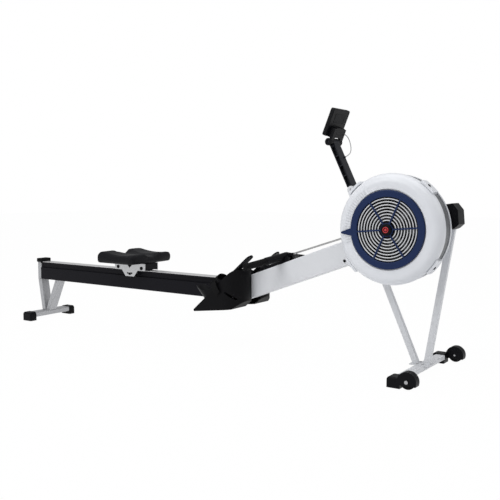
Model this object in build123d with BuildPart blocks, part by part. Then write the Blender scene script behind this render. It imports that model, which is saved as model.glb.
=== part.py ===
"""Rowing machine with an air flywheel: every piece is a separate solid in one shared frame.

X runs forward to the flywheel, Y to the rower's left and Z up from the floor, in millimetres.
The origin lies on the floor in the middle of the machine.
"""
from math import asin, atan2, cos, degrees, hypot, pi, radians, sin, tan
import os

from build123d import *

os.makedirs("parts", exist_ok=True)

# Overall places
HALF_LENGTH = 1235.0
HALF_WIDTH = 278.0
RUN_GAP = 0.3
SHAFT_GAP = 0.05

# Rail that the seat rolls on
RAIL_LENGTH = 1355.0
RAIL_TOP = 322.0
RAIL_HEIGHT = 100.0
RAIL_WIDTH = 56.0
RAIL_WALL = 3.0
TRACK_THICKNESS = 2.0
HEAD_THICKNESS = 8.0
GROOVE_HEIGHT = 24.0
GROOVE_DEPTH = 10.0
STOP_LENGTH = 46.0
STOP_HEIGHT = 20.0
STOP_WIDTH = 68.0
STOP_ROUND = 4.0

# Rear support
POST_DEPTH = 30.0
POST_FOOT_DEPTH = 28.0
POST_WIDTH = 50.0
REAR_BAR_DEPTH = 62.0
REAR_BAR_TOP = 44.0
REAR_BAR_HEIGHT = 26.0
REAR_BAR_OFFSET = 61.0
REAR_WIDTH = 322.0
REAR_CAP_LENGTH = 40.0
CAP_LIP = 4.0
CAP_ROUND = 14.0
CAP_END_ROUND = 9.0
BAR_ROUND = 4.0
BRACE_REACH = 132.0
BRACE_DEPTH = 28.0

# Beam that rises from the foot end to the flywheel
JOINT_THICKNESS = 12.0
BEAM_ANGLE = 20.4
BEAM_HEIGHT = 102.0
BEAM_WIDTH = 70.0
BEAM_WALL = 3.0
BEAM_STEP = 15.0
NOSE_LENGTH = 34.0
NOSE_CHAMFER = 26.0
NOSE_RISE = 5.0
NOSE_CHIN = 20.0
NOSE_LAP = 9.0
CHAIN_SLOT = 20.0
BEAM_ROUND = 4.0

# Front support
FRONT_BAR_AHEAD = 81.0
FRONT_BAR_DEPTH = 42.0
FRONT_BAR_TOP = 38.0
FRONT_BAR_HEIGHT = 20.0
FRONT_CAP_LENGTH = 54.0
FRONT_CAP_BACK = 17.0
FRONT_CAP_SETBACK = 16.0
FRONT_CAP_ROUND = 14.0
FRONT_CAP_END_ROUND = 7.0
LEG_DEPTH = 26.0
LEG_WIDTH = 18.0
LEG_SPREAD = 46.0
FOOT_PLATE_WIDTH = 60.0
FOOT_PLATE_THICKNESS = 4.0
FOOT_PLATE_MARGIN = 6.0
TUBE_WALL = 3.0
REAR_LEG_LEAN = 23.9
FRONT_LEG_LEAN = 9.3
WHEEL_RADIUS = 30.0
WHEEL_WIDTH = 18.0
WHEEL_LIFT = 4.0
WHEEL_AHEAD = 29.0
WHEEL_INSET = 17.0
WHEEL_PIN_RADIUS = 4.0
FENDER_WALL = 5.0
FENDER_GAP = 3.0

# Flywheel and its housing
AXLE_SETBACK = 230.0
AXLE_DROP = 33.509
AXLE_RADIUS = 8.5
BEARING_RADIUS = 21.0
BEARING_LIP = 5.0
HOUSING_RADIUS = 217.0
FAR_SHELL_STEP = 4.0
FAR_SHELL_DEPTH = 38.0
FAR_SHOULDER = 34.0
MESH_WIDTH = 62.0
MESH_LAP = 8.0
MESH_GAP = 0.5
MESH_THICKNESS = 1.2
NEAR_SHELL_DEPTH = 43.0
SHOULDER_RADIUS = 35.0
NEAR_SHELL_WALL = 5.0
FAR_SHELL_WALL = 3.0
SCALE_DEPTH = 2.5
SCALE_START = 123.0
SCALE_END = 200.0
FAN_GAP = 15.0
FAN_HUB_RADIUS = 28.0
FAN_BLADES = 30
FAN_WIDTH = 92.0
FAN_CLEAR = 20.0
FAN_DISC = 5.0
WEIGHT_RADIUS = 109.0
WEIGHT_THICKNESS = 22.0
BLADE_REACH = 88.0
BLADE_THICKNESS = 2.4
CLIP_ANGLES = (48.0, 134.0, 222.0, 322.0)
CLIP_THICKNESS = 10.0
CLIP_ARC = 17.0
CLIP_OVERLAP = 18.0
CLIP_REACH = 26.0

# Damper and guard
FACE_BAND = 64.2
DAMPER_WIDTH = 27.0
DAMPER_THICKNESS = 11.0
POINTER_REACH = 42.0
POINTER_ANGLE = 185.0
POINTER_THICKNESS = 5.0
POINTER_ROOT = 32.0
POINTER_TIP = 6.0
POINTER_LAP = 6.0
DAMPER_GAP = 4.0
DAMPER_LAP = 5.0
DAMPER_ROUND = 3.5
SPOKE_ANGLE = 5.0
SPOKES = 6
SPOKE_WIDTH = 6.0
SPOKE_THICKNESS = 4.0
GUARD_PITCH = 11.8
GUARD_BAR = 3.8
GUARD_THICKNESS = 3.0
SHUTTER_THICKNESS = 1.6
WINDOWS = 9
WINDOW_ARC = 18.0
WINDOW_MARGIN = 12.0
INTAKE_THICKNESS = 2.0
INTAKE_LAP = 8.0
STUB_SHORT = 1.0
HUB_RADIUS = 26.0
STUB_RADIUS = 8.0
HUB_CAP_RADIUS = 23.0
HUB_CAP_HEIGHT = 8.0

# Chain, sprocket and return cord
CHAIN_PITCH = 9.525
SPROCKET_TEETH = 24
SPROCKET_THICKNESS = 4.0
TOOTH_RISE = 0.6
ROLLER_RADIUS = 2.5
ROLLER_GAP = 0.3
PIN_RADIUS = 1.6
PLATE_HEIGHT = 7.4
PLATE_THICKNESS = 1.0
INNER_GAP = 4.8
PLATE_GAP = 0.1
CLUTCH_LENGTH = 16.0
RETURN_LINKS = 72
CORD_RADIUS = 4.0
PULLEY_RADIUS = 18.0
PULLEY_PIN_RADIUS = 5.0
PULLEY_WIDTH = 14.0
PULLEY_REACH = 74.0
CORD_ANCHOR_REACH = 318.0
ANCHOR_LENGTH = 10.0

# Handle and its hook
HANDLE_REACH = 279.0
HANDLE_RISE = 31.241
HANDLE_SWEEP = 52.0
HANDLE_DROOP = 32.0
HANDLE_SPAN = 245.0
HANDLE_BODY_RADIUS = 17.0
HANDLE_BODY_SPAN = 130.0
GRIP_RADIUS = 15.0
GRIP_CORE = 9.0
GRIP_END = 3.0
EYE_REACH = 34.0
EYE_RISE = 10.0
EYE_WIDTH = 14.0
EYE_HALF = 6.0
EYE_LIP = 4.0
HOOK_WIDTH = 60.0
HOOK_SLOT = 22.0
HOOK_LENGTH = 56.0
HOOK_FLOOR = 6.0
SADDLE_LENGTH = 112.0
SADDLE_HEIGHT = 12.0

# Foot stretchers
FOOT_ANGLE = 41.4
FOOT_SETBACK = 137.0
FOOT_DROP = 149.0
DECK_LENGTH = 316.0
BOARD_INNER = 38.0
BOARD_OUTER = 164.0
BOARD_WALL = 4.0
BOARD_REACH = 138.0
BOARD_RISE = 46.0
BOARD_DROP = 75.0
BELLY_REACH = 83.0
BELLY_DROP = 122.0
BOARD_ROUND = 6.0
CHEEK_REACH = 38.0
BOARD_NOSE = 116.0
BOARD_NOSE_FLAT = 6.0
RECESS_LENGTH = 62.0
RECESS_WIDTH = 10.0
RECESS_TURN = -33.0
RECESS_REACH = 78.0
RECESS_DROP = 61.0
SOLE_CENTRE = 110.0
SOLE_WIDTH = 92.0
SOLE_THICKNESS = 6.0
SOLE_HEEL = 75.0
SOLE_TOE = 408.0
BALL_END = 304.0
TOE_WIDTH = 46.0
TOE_LAP = 40.0
HEEL_HEIGHT = 86.0
HEEL_WALL = 4.0
HEEL_RUN = 100.0
HEEL_EDGE = 8.0
STRAP_PLACE = 195.0
STRAP_WIDTH = 38.0
STRAP_HEIGHT = 46.0
STRAP_THICKNESS = 2.5
TOE_HOLES = 5
TOE_HOLE_PITCH = 18.0
TOE_HOLE_RADIUS = 4.0
ROD_RADIUS = 7.0
RAIL_ROD_INSET = 30.0
BEAM_ROD_REACH = 26.0

# Seat and its carriage
SEAT_REACH = 726.0
SEAT_LENGTH = 254.0
SEAT_WIDTH = 316.0
SEAT_THICKNESS = 62.0
SEAT_NOTCH = 22.0
LOBE_Y = 78.0
NOTCH_ROUND = 20.0
FRONT_BOW = 8.0
PAD_DRAW = 10.0
PAD_TUCK = 5.0
PAD_SETBACK = 7.0
REAR_TAPER = 3.0
FRONT_CORNER = 26.0
REAR_CORNER = 14.0
LOBE_ROUND = 40.0
PAD_SHOULDER = 11.0
DISH_RADIUS = 420.0
DISH_AHEAD = 24.0
DISH_SAG = 17.0
GROOVE_RADIUS = 80.0
GROOVE_SAG = 9.0
CARRIAGE_LENGTH = 212.0
CARRIAGE_WIDTH = 92.0
CARRIAGE_RISE = 37.0
CARRIAGE_PLATE = 4.0
SIDE_PLATE = 4.0
SIDE_PLATE_DROP = 32.0
SIDE_PLATE_TIP = 60.0
SIDE_PLATE_WAIST = 112.0
UPPER_ROLLER_RADIUS = 13.0
UPPER_ROLLER_PLACE = 82.0
UPPER_ROLLER_WIDTH = 16.0
UPPER_ROLLER_Y = 17.0
LOWER_ROLLER_RADIUS = 9.0
LOWER_ROLLER_WIDTH = 7.0
ROLLER_PIN_RADIUS = 4.0
BUMPER_THICKNESS = 8.0
BUMPER_CLEAR = 4.0
PLATE_NOTCH = 26.0
PLATE_NOTCH_WIDTH = 52.0
ROLLER_CLEAR = 2.0
ROLLER_BOLT = 7.0

# Monitor and its arm
ARM_Y = 67.0
ARM_WIDTH = 50.0
ARM_THICKNESS = 24.0
ARM_POST_SETBACK = 167.0
PIVOT_SETBACK = 99.0
PIVOT_RISE = 179.6
TILT_SETBACK = 99.0
TILT_RISE = 206.0
POST_TUBE = 34.0
POST_PLATE = 6.0
POST_PLATE_LENGTH = 96.0
POST_PLATE_HEIGHT = 72.0
POST_LAP = 20.0
LAP_CLEAR = 4.0
ARM_INSET = 18.0
ARM_WALL = 4.0
ARM_RIBS = 4
KNUCKLE_RADIUS = 16.0
KNUCKLE_SPAN = 100.0
HINGE_PIN_RADIUS = 6.0
CASE_WIDTH = 145.0
CASE_HEIGHT = 122.0
CASE_THICKNESS = 18.0
CASE_ANGLE = 22.3
CASE_LIFT = 20.0
CASE_BACK = 12.0
NECK_HEIGHT = 84.0
NECK_DEPTH = 24.0
NECK_WIDTH = 74.0
NECK_RISE = 4.0
SCREEN_WIDTH = 116.0
SCREEN_HEIGHT = 58.0
SCREEN_THICKNESS = 1.5
BUTTONS = 3
BUTTON_WIDTH = 16.0
BUTTON_HEIGHT = 9.0
BUTTON_PITCH = 28.0
BUTTON_DEPTH = 5.0
BUTTON_PROUD = 1.8
BUTTON_TRAVEL = 1.2
BUTTON_ROW = 21.0
SCREEN_ROW = 78.0
GLAND_SIDE = 61.0
GLAND_RISE = 42.0
GLAND_RADIUS = 4.5
GLAND_LENGTH = 5.0
GROMMET_RADIUS = 4.5
GROMMET_LENGTH = 4.0
GROMMET_PLACE = 150.0
GROMMET_INSET = 42.5
CABLE_RADIUS = 1.9
GLAND_LEAD = 16.0
GROMMET_LEAD = 19.0

# Fasteners
BOLT_RADIUS = 5.0
BOLT_HEAD = 3.0
BOLT_MARGIN = 12.0
SCREW_RADIUS = 4.0
SCREW_HEAD = 2.0

# Places worked out from the sizes above
rail_rear = -HALF_LENGTH + POST_DEPTH
rail_front = rail_rear + RAIL_LENGTH
rail_bottom = RAIL_TOP - RAIL_HEIGHT
rail_cap = RAIL_TOP - TRACK_THICKNESS
rear_bar_x = -HALF_LENGTH + REAR_BAR_OFFSET
beam_rear = rail_front + JOINT_THICKNESS
beam_drop = BEAM_HEIGHT / cos(radians(BEAM_ANGLE))
beam_slope = tan(radians(BEAM_ANGLE))
beam_half = BEAM_WIDTH / 2
far_back = -beam_half
BEAM_JOINT_TOP = RAIL_TOP - BEAM_STEP
FAR_SHELL_RADIUS = HOUSING_RADIUS - FAR_SHELL_STEP
FAN_RADIUS = FAR_SHELL_RADIUS - FAN_GAP
DAMPER_RADIUS = HOUSING_RADIUS - FACE_BAND
far_rim = far_back - FAR_SHELL_DEPTH
near_rim = far_rim - MESH_WIDTH
face_y = near_rim - NEAR_SHELL_DEPTH
seat_y = face_y + DAMPER_THICKNESS - POINTER_THICKNESS
damper_front = seat_y - RUN_GAP - DAMPER_THICKNESS
foot_slope = radians(FOOT_ANGLE)


def save(builder: BuildPart, name: str) -> None:
    """Label a finished piece and write it under its own name."""
    builder.part.label = name
    export_step(builder.part, f"parts/{name}.step")


def beam_top(x: float) -> float:
    """Height of the beam's upper face at a place along the machine."""
    return BEAM_JOINT_TOP + (x - beam_rear) * beam_slope


def beam_bottom(x: float) -> float:
    """Height of the beam's lower face at a place along the machine."""
    return beam_top(x) - beam_drop


# Places along the machine, each set from the end or the face that carries it
FOOT_X = beam_rear - FOOT_SETBACK
FOOT_Z = RAIL_TOP - FOOT_DROP
BOARD_FRONT_X = beam_rear + BOARD_REACH
BOARD_FRONT_TOP = RAIL_TOP + BOARD_RISE
BOARD_FRONT_LOW = RAIL_TOP - BOARD_DROP
BOARD_BELLY_X = beam_rear + BELLY_REACH
BOARD_BELLY_Z = RAIL_TOP - BELLY_DROP
RECESS_X = beam_rear + RECESS_REACH
RECESS_Z = RAIL_TOP - RECESS_DROP
SEAT_X = rail_rear + SEAT_REACH
CARRIAGE_TOP = RAIL_TOP + CARRIAGE_RISE
SIDE_PLATE_LOW = RAIL_TOP - SIDE_PLATE_DROP
PULLEY_X = beam_rear + PULLEY_REACH
CORD_ANCHOR_X = beam_rear + CORD_ANCHOR_REACH
HANDLE_X = beam_rear + HANDLE_REACH
HANDLE_Z = beam_top(HANDLE_X) + HANDLE_RISE
AXLE_X = HALF_LENGTH - AXLE_SETBACK
AXLE_Z = beam_top(AXLE_X) - AXLE_DROP
FRONT_BAR_X = AXLE_X + FRONT_BAR_AHEAD
WHEEL_Y = HALF_WIDTH - WHEEL_INSET
ARM_POST_X = AXLE_X - ARM_POST_SETBACK
ARM_PIVOT_X = ARM_POST_X - PIVOT_SETBACK
ARM_PIVOT_Z = beam_top(ARM_POST_X) + PIVOT_RISE
TILT_X = ARM_PIVOT_X - TILT_SETBACK
TILT_Z = ARM_PIVOT_Z + TILT_RISE


def axle_plane(angle: float) -> Plane:
    """Plane through the axle whose x axis points out at an angle and whose y axis is the machine's Y."""
    turn = radians(angle)
    return Plane(origin=(AXLE_X, 0, AXLE_Z), x_dir=(cos(turn), 0, sin(turn)), z_dir=(-sin(turn), 0, cos(turn)))


def cross_plane(x: float, z: float, y: float) -> Plane:
    """Plane across the machine at a height and place, looking along +Y with X to the right."""
    return Plane(origin=(x, y, z), x_dir=(1, 0, 0), z_dir=(0, -1, 0))


def axle_face(y: float) -> Plane:
    """Plane square to the axle."""
    return cross_plane(AXLE_X, AXLE_Z, y)


axle_line = Axis((AXLE_X, 0, AXLE_Z), (0, 1, 0))
# Rail: a hollow black extrusion with a groove under its head for the lower rollers
head_bottom = rail_cap - HEAD_THICKNESS
groove_bottom = head_bottom - GROOVE_HEIGHT
web_width = RAIL_WIDTH - 2 * GROOVE_DEPTH
MIN_Y = (Align.CENTER, Align.MIN)
rail_rod_x = rail_front - RAIL_ROD_INSET
rail_rod_z = rail_bottom + 2 * ROD_RADIUS
beam_rod_x = beam_rear + BEAM_ROD_REACH
beam_rod_z = beam_top(beam_rod_x) - BEAM_WALL - 2.5 * ROD_RADIUS
with BuildPart() as rail:
    with BuildSketch(Plane.YZ.offset(rail_rear)):
        with Locations((0, rail_bottom)):
            Rectangle(RAIL_WIDTH, groove_bottom - rail_bottom, align=MIN_Y)
        with Locations((0, groove_bottom)):
            Rectangle(web_width, GROOVE_HEIGHT, align=MIN_Y)
        with Locations((0, head_bottom)):
            Rectangle(RAIL_WIDTH, HEAD_THICKNESS, align=MIN_Y)
        inner_height = groove_bottom - rail_bottom - 2 * RAIL_WALL
        with Locations((0, rail_bottom + RAIL_WALL)):
            Rectangle(RAIL_WIDTH - 2 * RAIL_WALL, inner_height, align=MIN_Y, mode=Mode.SUBTRACT)
        with Locations((0, groove_bottom - RAIL_WALL)):
            Rectangle(web_width - 2 * RAIL_WALL, GROOVE_HEIGHT + RAIL_WALL, align=MIN_Y, mode=Mode.SUBTRACT)
    extrude(amount=RAIL_LENGTH)
    with BuildSketch(Plane.XZ):
        with Locations((rail_rod_x, rail_rod_z)):
            Circle(ROD_RADIUS + RUN_GAP)
    extrude(amount=RAIL_WIDTH, both=True, mode=Mode.SUBTRACT)
save(rail, "rail")

with BuildPart() as track:
    with BuildSketch(Plane.XY.offset(rail_cap)):
        track_rear = rail_rear - POST_DEPTH + STOP_LENGTH
        with Locations(((track_rear + rail_front) / 2, 0)):
            Rectangle(rail_front - track_rear, RAIL_WIDTH)
    extrude(amount=TRACK_THICKNESS)
save(track, "rail_track")

with BuildPart() as end_stop:
    with BuildSketch(Plane.XY.offset(rail_cap)):
        with Locations((-HALF_LENGTH + STOP_LENGTH / 2, 0)):
            RectangleRounded(STOP_LENGTH, STOP_WIDTH, 6)
    extrude(amount=STOP_HEIGHT)
    fillet(end_stop.faces().sort_by(Axis.Z)[-1].edges(), STOP_ROUND)
save(end_stop, "rail_end_stop")

# Rear support: a post that closes the rail's end, a sloping brace and a crossbar with end caps
rear_bar_rear = rear_bar_x - REAR_BAR_DEPTH / 2
rear_bar_front = rear_bar_x + REAR_BAR_DEPTH / 2
with BuildPart() as rear_post:
    with BuildSketch(Plane.XZ):
        with BuildLine():
            Polyline(
                (rear_bar_rear, REAR_BAR_TOP),
                (rear_bar_rear + POST_FOOT_DEPTH, REAR_BAR_TOP),
                (rail_rear, rail_bottom),
                (rail_rear, rail_cap),
                (-HALF_LENGTH, rail_cap),
                (-HALF_LENGTH, rail_bottom),
                close=True,
            )
        make_face()
    extrude(amount=POST_WIDTH / 2, both=True)
    fillet(rear_post.edges().filter_by(Axis.Y, reverse=True).group_by(Axis.Y)[0], 3)
save(rear_post, "rear_post")

with BuildPart() as rear_brace:
    brace_top = -HALF_LENGTH + POST_DEPTH + BRACE_REACH
    with BuildSketch(Plane.XZ):
        with BuildLine():
            Polyline(
                (rear_bar_front - BRACE_DEPTH, REAR_BAR_TOP),
                (rear_bar_front, REAR_BAR_TOP),
                (brace_top + BRACE_DEPTH / 2, rail_bottom),
                (brace_top - BRACE_DEPTH / 2, rail_bottom),
                close=True,
            )
        make_face()
    extrude(amount=POST_WIDTH / 2, both=True)
save(rear_brace, "rear_brace")

rear_bar_half = REAR_WIDTH / 2 - REAR_CAP_LENGTH
with BuildPart() as rear_bar:
    with BuildSketch(Plane.XZ):
        with Locations((rear_bar_x, REAR_BAR_TOP - REAR_BAR_HEIGHT / 2)):
            RectangleRounded(REAR_BAR_DEPTH, REAR_BAR_HEIGHT, BAR_ROUND)
            Rectangle(REAR_BAR_DEPTH - 2 * TUBE_WALL, REAR_BAR_HEIGHT - 2 * TUBE_WALL, mode=Mode.SUBTRACT)
    extrude(amount=rear_bar_half, both=True)
save(rear_bar, "rear_crossbar")

with BuildPart() as rear_caps:
    with BuildSketch(Plane.XZ.offset(rear_bar_half)):
        with Locations((rear_bar_x, 0)):
            Rectangle(REAR_BAR_DEPTH + 2 * CAP_LIP, REAR_BAR_TOP + CAP_LIP, align=MIN_Y)
    extrude(amount=REAR_CAP_LENGTH)
    fillet(rear_caps.edges().filter_by(Axis.Y).group_by(Axis.Z)[-1], CAP_ROUND)
    fillet(rear_caps.faces().sort_by(Axis.Y)[0].edges().group_by(Axis.Z)[-1], CAP_END_ROUND)
    mirror(about=Plane.XZ)
save(rear_caps, "rear_foot_caps")

# Plate between the rail and the beam
with BuildPart() as frame_joint:
    with BuildSketch(Plane.YZ.offset(rail_front)):
        joint_low = min(rail_bottom, beam_bottom(beam_rear))
        joint_high = max(RAIL_TOP, BEAM_JOINT_TOP)
        with Locations((0, joint_low)):
            Rectangle(BEAM_WIDTH, joint_high - joint_low, align=MIN_Y)
    extrude(amount=JOINT_THICKNESS)
    fillet(frame_joint.edges().filter_by(Axis.X), 5)
save(frame_joint, "frame_joint")

# Beam: a hollow white box, slotted on top for the chain and bored for the axle
nose_x = HALF_LENGTH - NOSE_LENGTH - BEAM_HEIGHT * sin(radians(BEAM_ANGLE)) + NOSE_LAP
nose_z = beam_top(nose_x)
lower_x = nose_x + BEAM_HEIGHT * sin(radians(BEAM_ANGLE))
lower_z = nose_z - BEAM_HEIGHT * cos(radians(BEAM_ANGLE))
pitch_radius = CHAIN_PITCH / (2 * sin(pi / SPROCKET_TEETH))
run_x = HANDLE_X + EYE_REACH
run_z = HANDLE_Z + EYE_RISE
axle_reach = hypot(AXLE_X - run_x, AXLE_Z - run_z)
run_angle = atan2(AXLE_Z - run_z, AXLE_X - run_x) + asin(pitch_radius / axle_reach)
cord_turn = PULLEY_RADIUS + CORD_RADIUS
tail_x = AXLE_X + pitch_radius * sin(run_angle)
tail_z = AXLE_Z - pitch_radius * cos(run_angle)
pulley_z = tail_z - (tail_x - PULLEY_X) * tan(run_angle) - cord_turn / cos(run_angle)
with BuildPart() as beam:
    with BuildSketch(Plane.XZ):
        with BuildLine():
            Polyline(
                (beam_rear, beam_bottom(beam_rear)),
                (beam_rear, beam_top(beam_rear)),
                (nose_x, nose_z),
                (lower_x, lower_z),
                close=True,
            )
        make_face()
    extrude(amount=beam_half, both=True)
    fillet(beam.edges().group_by(Axis.Y)[0].filter_by(lambda edge: edge.length > BEAM_HEIGHT * 2), BEAM_ROUND)
    fillet(beam.edges().group_by(Axis.Y)[-1].filter_by(lambda edge: edge.length > BEAM_HEIGHT * 2), BEAM_ROUND)
    wall_rise = BEAM_WALL / cos(radians(BEAM_ANGLE))
    with BuildSketch(Plane.XZ):
        with BuildLine():
            Polyline(
                (beam_rear, beam_bottom(beam_rear) + wall_rise),
                (beam_rear, beam_top(beam_rear) - wall_rise),
                (HALF_LENGTH, beam_top(HALF_LENGTH) - wall_rise),
                (HALF_LENGTH, beam_bottom(HALF_LENGTH) + wall_rise),
                close=True,
            )
        make_face()
    extrude(amount=beam_half - BEAM_WALL, both=True, mode=Mode.SUBTRACT)
    slot_rear = AXLE_X - 3 * pitch_radius
    slot_front = AXLE_X + 1.6 * pitch_radius
    with BuildSketch(Plane.XY.offset(AXLE_Z)):
        with Locations(((slot_rear + slot_front) / 2, 0)):
            SlotOverall(slot_front - slot_rear, CHAIN_SLOT)
    extrude(amount=HOUSING_RADIUS, mode=Mode.SUBTRACT)
    with BuildSketch(Plane.XZ):
        with Locations((AXLE_X, AXLE_Z)):
            Circle(BEARING_RADIUS)
        with Locations((beam_rod_x, beam_rod_z)):
            Circle(ROD_RADIUS + RUN_GAP)
        with Locations((PULLEY_X, pulley_z)):
            Circle(PULLEY_PIN_RADIUS)
    extrude(amount=BEAM_WIDTH, both=True, mode=Mode.SUBTRACT)
save(beam, "beam")

with BuildPart() as nose:
    with BuildSketch(Plane.XZ):
        with BuildLine():
            Polyline(
                (nose_x, nose_z),
                (nose_x + NOSE_LENGTH, nose_z + NOSE_RISE),
                (HALF_LENGTH - NOSE_RISE, nose_z + NOSE_RISE - NOSE_CHAMFER),
                (HALF_LENGTH, lower_z + NOSE_CHIN),
                (lower_x + NOSE_LAP, lower_z + NOSE_RISE),
                (lower_x, lower_z),
                close=True,
            )
        make_face()
    extrude(amount=beam_half, both=True)
    fillet(nose.edges().group_by(Axis.X)[-1], 2)
save(nose, "beam_nose_block")


# Front support: two legs that spread down from the beam to a plate on a crossbar with wheels
foot_plate_top = FRONT_BAR_TOP + FOOT_PLATE_THICKNESS


def leg_outline(foot_x: float, lean: float, depth: float) -> list[tuple[float, float]]:
    """Side outline of a leg from the foot plate up to the beam's lower face.

    A positive lean, in degrees, carries the leg's top towards the rear.
    """
    shift = tan(radians(lean))
    points = [(foot_x - depth / 2, foot_plate_top), (foot_x + depth / 2, foot_plate_top)]
    for edge_x in (foot_x + depth / 2, foot_x - depth / 2):
        rise = (beam_bottom(edge_x) - foot_plate_top) / (1 + shift * beam_slope)
        points.append((edge_x - shift * rise, foot_plate_top + rise))
    return points


foot_spread = LEG_SPREAD / 2
with BuildPart() as front_legs:
    for leg_foot, leg_lean in (
        (FRONT_BAR_X - foot_spread, REAR_LEG_LEAN),
        (FRONT_BAR_X + foot_spread, -FRONT_LEG_LEAN),
    ):
        with BuildSketch(Plane.XZ):
            with BuildLine():
                Polyline(*leg_outline(leg_foot, leg_lean, LEG_DEPTH), close=True)
            make_face()
        extrude(amount=LEG_WIDTH / 2, both=True)
        with BuildSketch(Plane.XZ):
            with BuildLine():
                Polyline(*leg_outline(leg_foot, leg_lean, LEG_DEPTH - 2 * TUBE_WALL), close=True)
            make_face()
        extrude(amount=LEG_WIDTH / 2 - TUBE_WALL, both=True, mode=Mode.SUBTRACT)
save(front_legs, "front_legs")

cap_inner = HALF_WIDTH - FRONT_CAP_SETBACK - FRONT_CAP_LENGTH
with BuildPart() as front_bar:
    with BuildSketch(Plane.XZ):
        with Locations((FRONT_BAR_X, FRONT_BAR_TOP - FRONT_BAR_HEIGHT / 2)):
            RectangleRounded(FRONT_BAR_DEPTH, FRONT_BAR_HEIGHT, BAR_ROUND)
            Rectangle(FRONT_BAR_DEPTH - 2 * TUBE_WALL, FRONT_BAR_HEIGHT - 2 * TUBE_WALL, mode=Mode.SUBTRACT)
    extrude(amount=cap_inner, both=True)
    with BuildSketch(Plane.XY.offset(FRONT_BAR_TOP)):
        with Locations((FRONT_BAR_X, 0)):
            Rectangle(LEG_SPREAD + LEG_DEPTH + 2 * FOOT_PLATE_MARGIN, FOOT_PLATE_WIDTH)
    extrude(amount=FOOT_PLATE_THICKNESS)
save(front_bar, "front_crossbar")

bar_front = FRONT_BAR_X + FRONT_BAR_DEPTH / 2
wheel_x = bar_front + WHEEL_AHEAD
wheel_z = WHEEL_LIFT + WHEEL_RADIUS
fender_inner = WHEEL_WIDTH / 2 + FENDER_GAP
fender_radius = WHEEL_RADIUS + FENDER_GAP + FENDER_WALL
pocket_radius = WHEEL_RADIUS + FENDER_GAP
block_front = wheel_x - pocket_radius
with BuildPart() as front_caps:
    with BuildSketch(Plane.XZ.offset(cap_inner)):
        with Locations((block_front, 0)):
            Rectangle(
                block_front - FRONT_BAR_X + FRONT_BAR_DEPTH / 2 + FRONT_CAP_BACK,
                FRONT_BAR_TOP + CAP_LIP,
                align=(Align.MAX, Align.MIN),
            )
    extrude(amount=FRONT_CAP_LENGTH)
    fillet(front_caps.edges().filter_by(Axis.Y).group_by(Axis.Z)[-1].sort_by(Axis.X)[0], FRONT_CAP_ROUND)
    fillet(front_caps.faces().sort_by(Axis.Y)[0].edges().group_by(Axis.Z)[-1], FRONT_CAP_END_ROUND)
    with BuildSketch(Plane.XZ.offset(WHEEL_Y - fender_inner - FENDER_WALL)):
        with Locations((wheel_x, wheel_z)):
            Circle(fender_radius)
        with Locations((wheel_x, wheel_z)):
            Rectangle(fender_radius, FRONT_BAR_TOP + CAP_LIP - wheel_z, align=(Align.MAX, Align.MIN))
        with Locations((wheel_x, wheel_z - WHEEL_RADIUS / 2)):
            Rectangle(4 * fender_radius, 2 * fender_radius, align=(Align.CENTER, Align.MAX), mode=Mode.SUBTRACT)
    extrude(amount=2 * (fender_inner + FENDER_WALL))
    with BuildSketch(Plane.XZ.offset(WHEEL_Y - fender_inner)):
        with Locations((wheel_x, wheel_z)):
            Circle(pocket_radius)
        with Locations((wheel_x, 0)):
            Rectangle(2 * pocket_radius, wheel_z, align=MIN_Y)
    extrude(amount=2 * fender_inner, mode=Mode.SUBTRACT)
    with BuildSketch(Plane.XZ):
        with Locations((wheel_x, wheel_z)):
            Circle(WHEEL_PIN_RADIUS)
    extrude(amount=HALF_WIDTH + BOLT_HEAD, mode=Mode.SUBTRACT)
    mirror(about=Plane.XZ)
save(front_caps, "front_foot_caps")

for wheel_name, wheel_y in (("wheel_right", -WHEEL_Y), ("wheel_left", WHEEL_Y)):
    with BuildPart() as wheel:
        with BuildSketch(Plane.XZ.offset(-wheel_y)):
            with Locations((wheel_x, wheel_z)):
                Circle(WHEEL_RADIUS)
                Circle(WHEEL_PIN_RADIUS + SHAFT_GAP, mode=Mode.SUBTRACT)
        extrude(amount=WHEEL_WIDTH / 2, both=True)
        fillet(wheel.edges().filter_by(GeomType.CIRCLE).group_by(SortBy.RADIUS)[-1], 3)
    save(wheel, wheel_name)

# Flywheel housing: a far shell on the beam's side, a mesh band and a rounded near shell
with BuildPart() as far_shell:
    shoulder_start = FAR_SHELL_RADIUS - FAR_SHOULDER
    far_inner = FAR_SHELL_RADIUS - FAR_SHELL_WALL
    far_bore = FAN_HUB_RADIUS + DAMPER_GAP
    with BuildSketch(axle_plane(0)):
        with BuildLine():
            back_line = Line((far_bore, far_back), (shoulder_start, far_back))
            back_turn = TangentArc(back_line @ 1, (FAR_SHELL_RADIUS, far_back - FAR_SHOULDER), tangent=(1, 0))
            rim = Polyline(
                back_turn @ 1,
                (FAR_SHELL_RADIUS, far_rim),
                (far_inner, far_rim),
                (far_inner, far_back - FAR_SHOULDER),
            )
            inner_turn = TangentArc(rim @ 1, (shoulder_start, far_back - FAR_SHELL_WALL), tangent=(0, 1))
            Polyline(inner_turn @ 1, (far_bore, far_back - FAR_SHELL_WALL), back_line @ 0)
        make_face()
    revolve(axis=axle_line)
save(far_shell, "housing_far_shell")

mesh_radius = FAR_SHELL_RADIUS - FAR_SHELL_WALL - MESH_GAP
with BuildPart() as mesh_band:
    with BuildSketch(axle_face(far_rim + MESH_LAP)):
        Circle(mesh_radius)
        Circle(mesh_radius - MESH_THICKNESS, mode=Mode.SUBTRACT)
    extrude(amount=MESH_WIDTH + 2 * MESH_LAP)
save(mesh_band, "housing_mesh_band")


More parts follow.
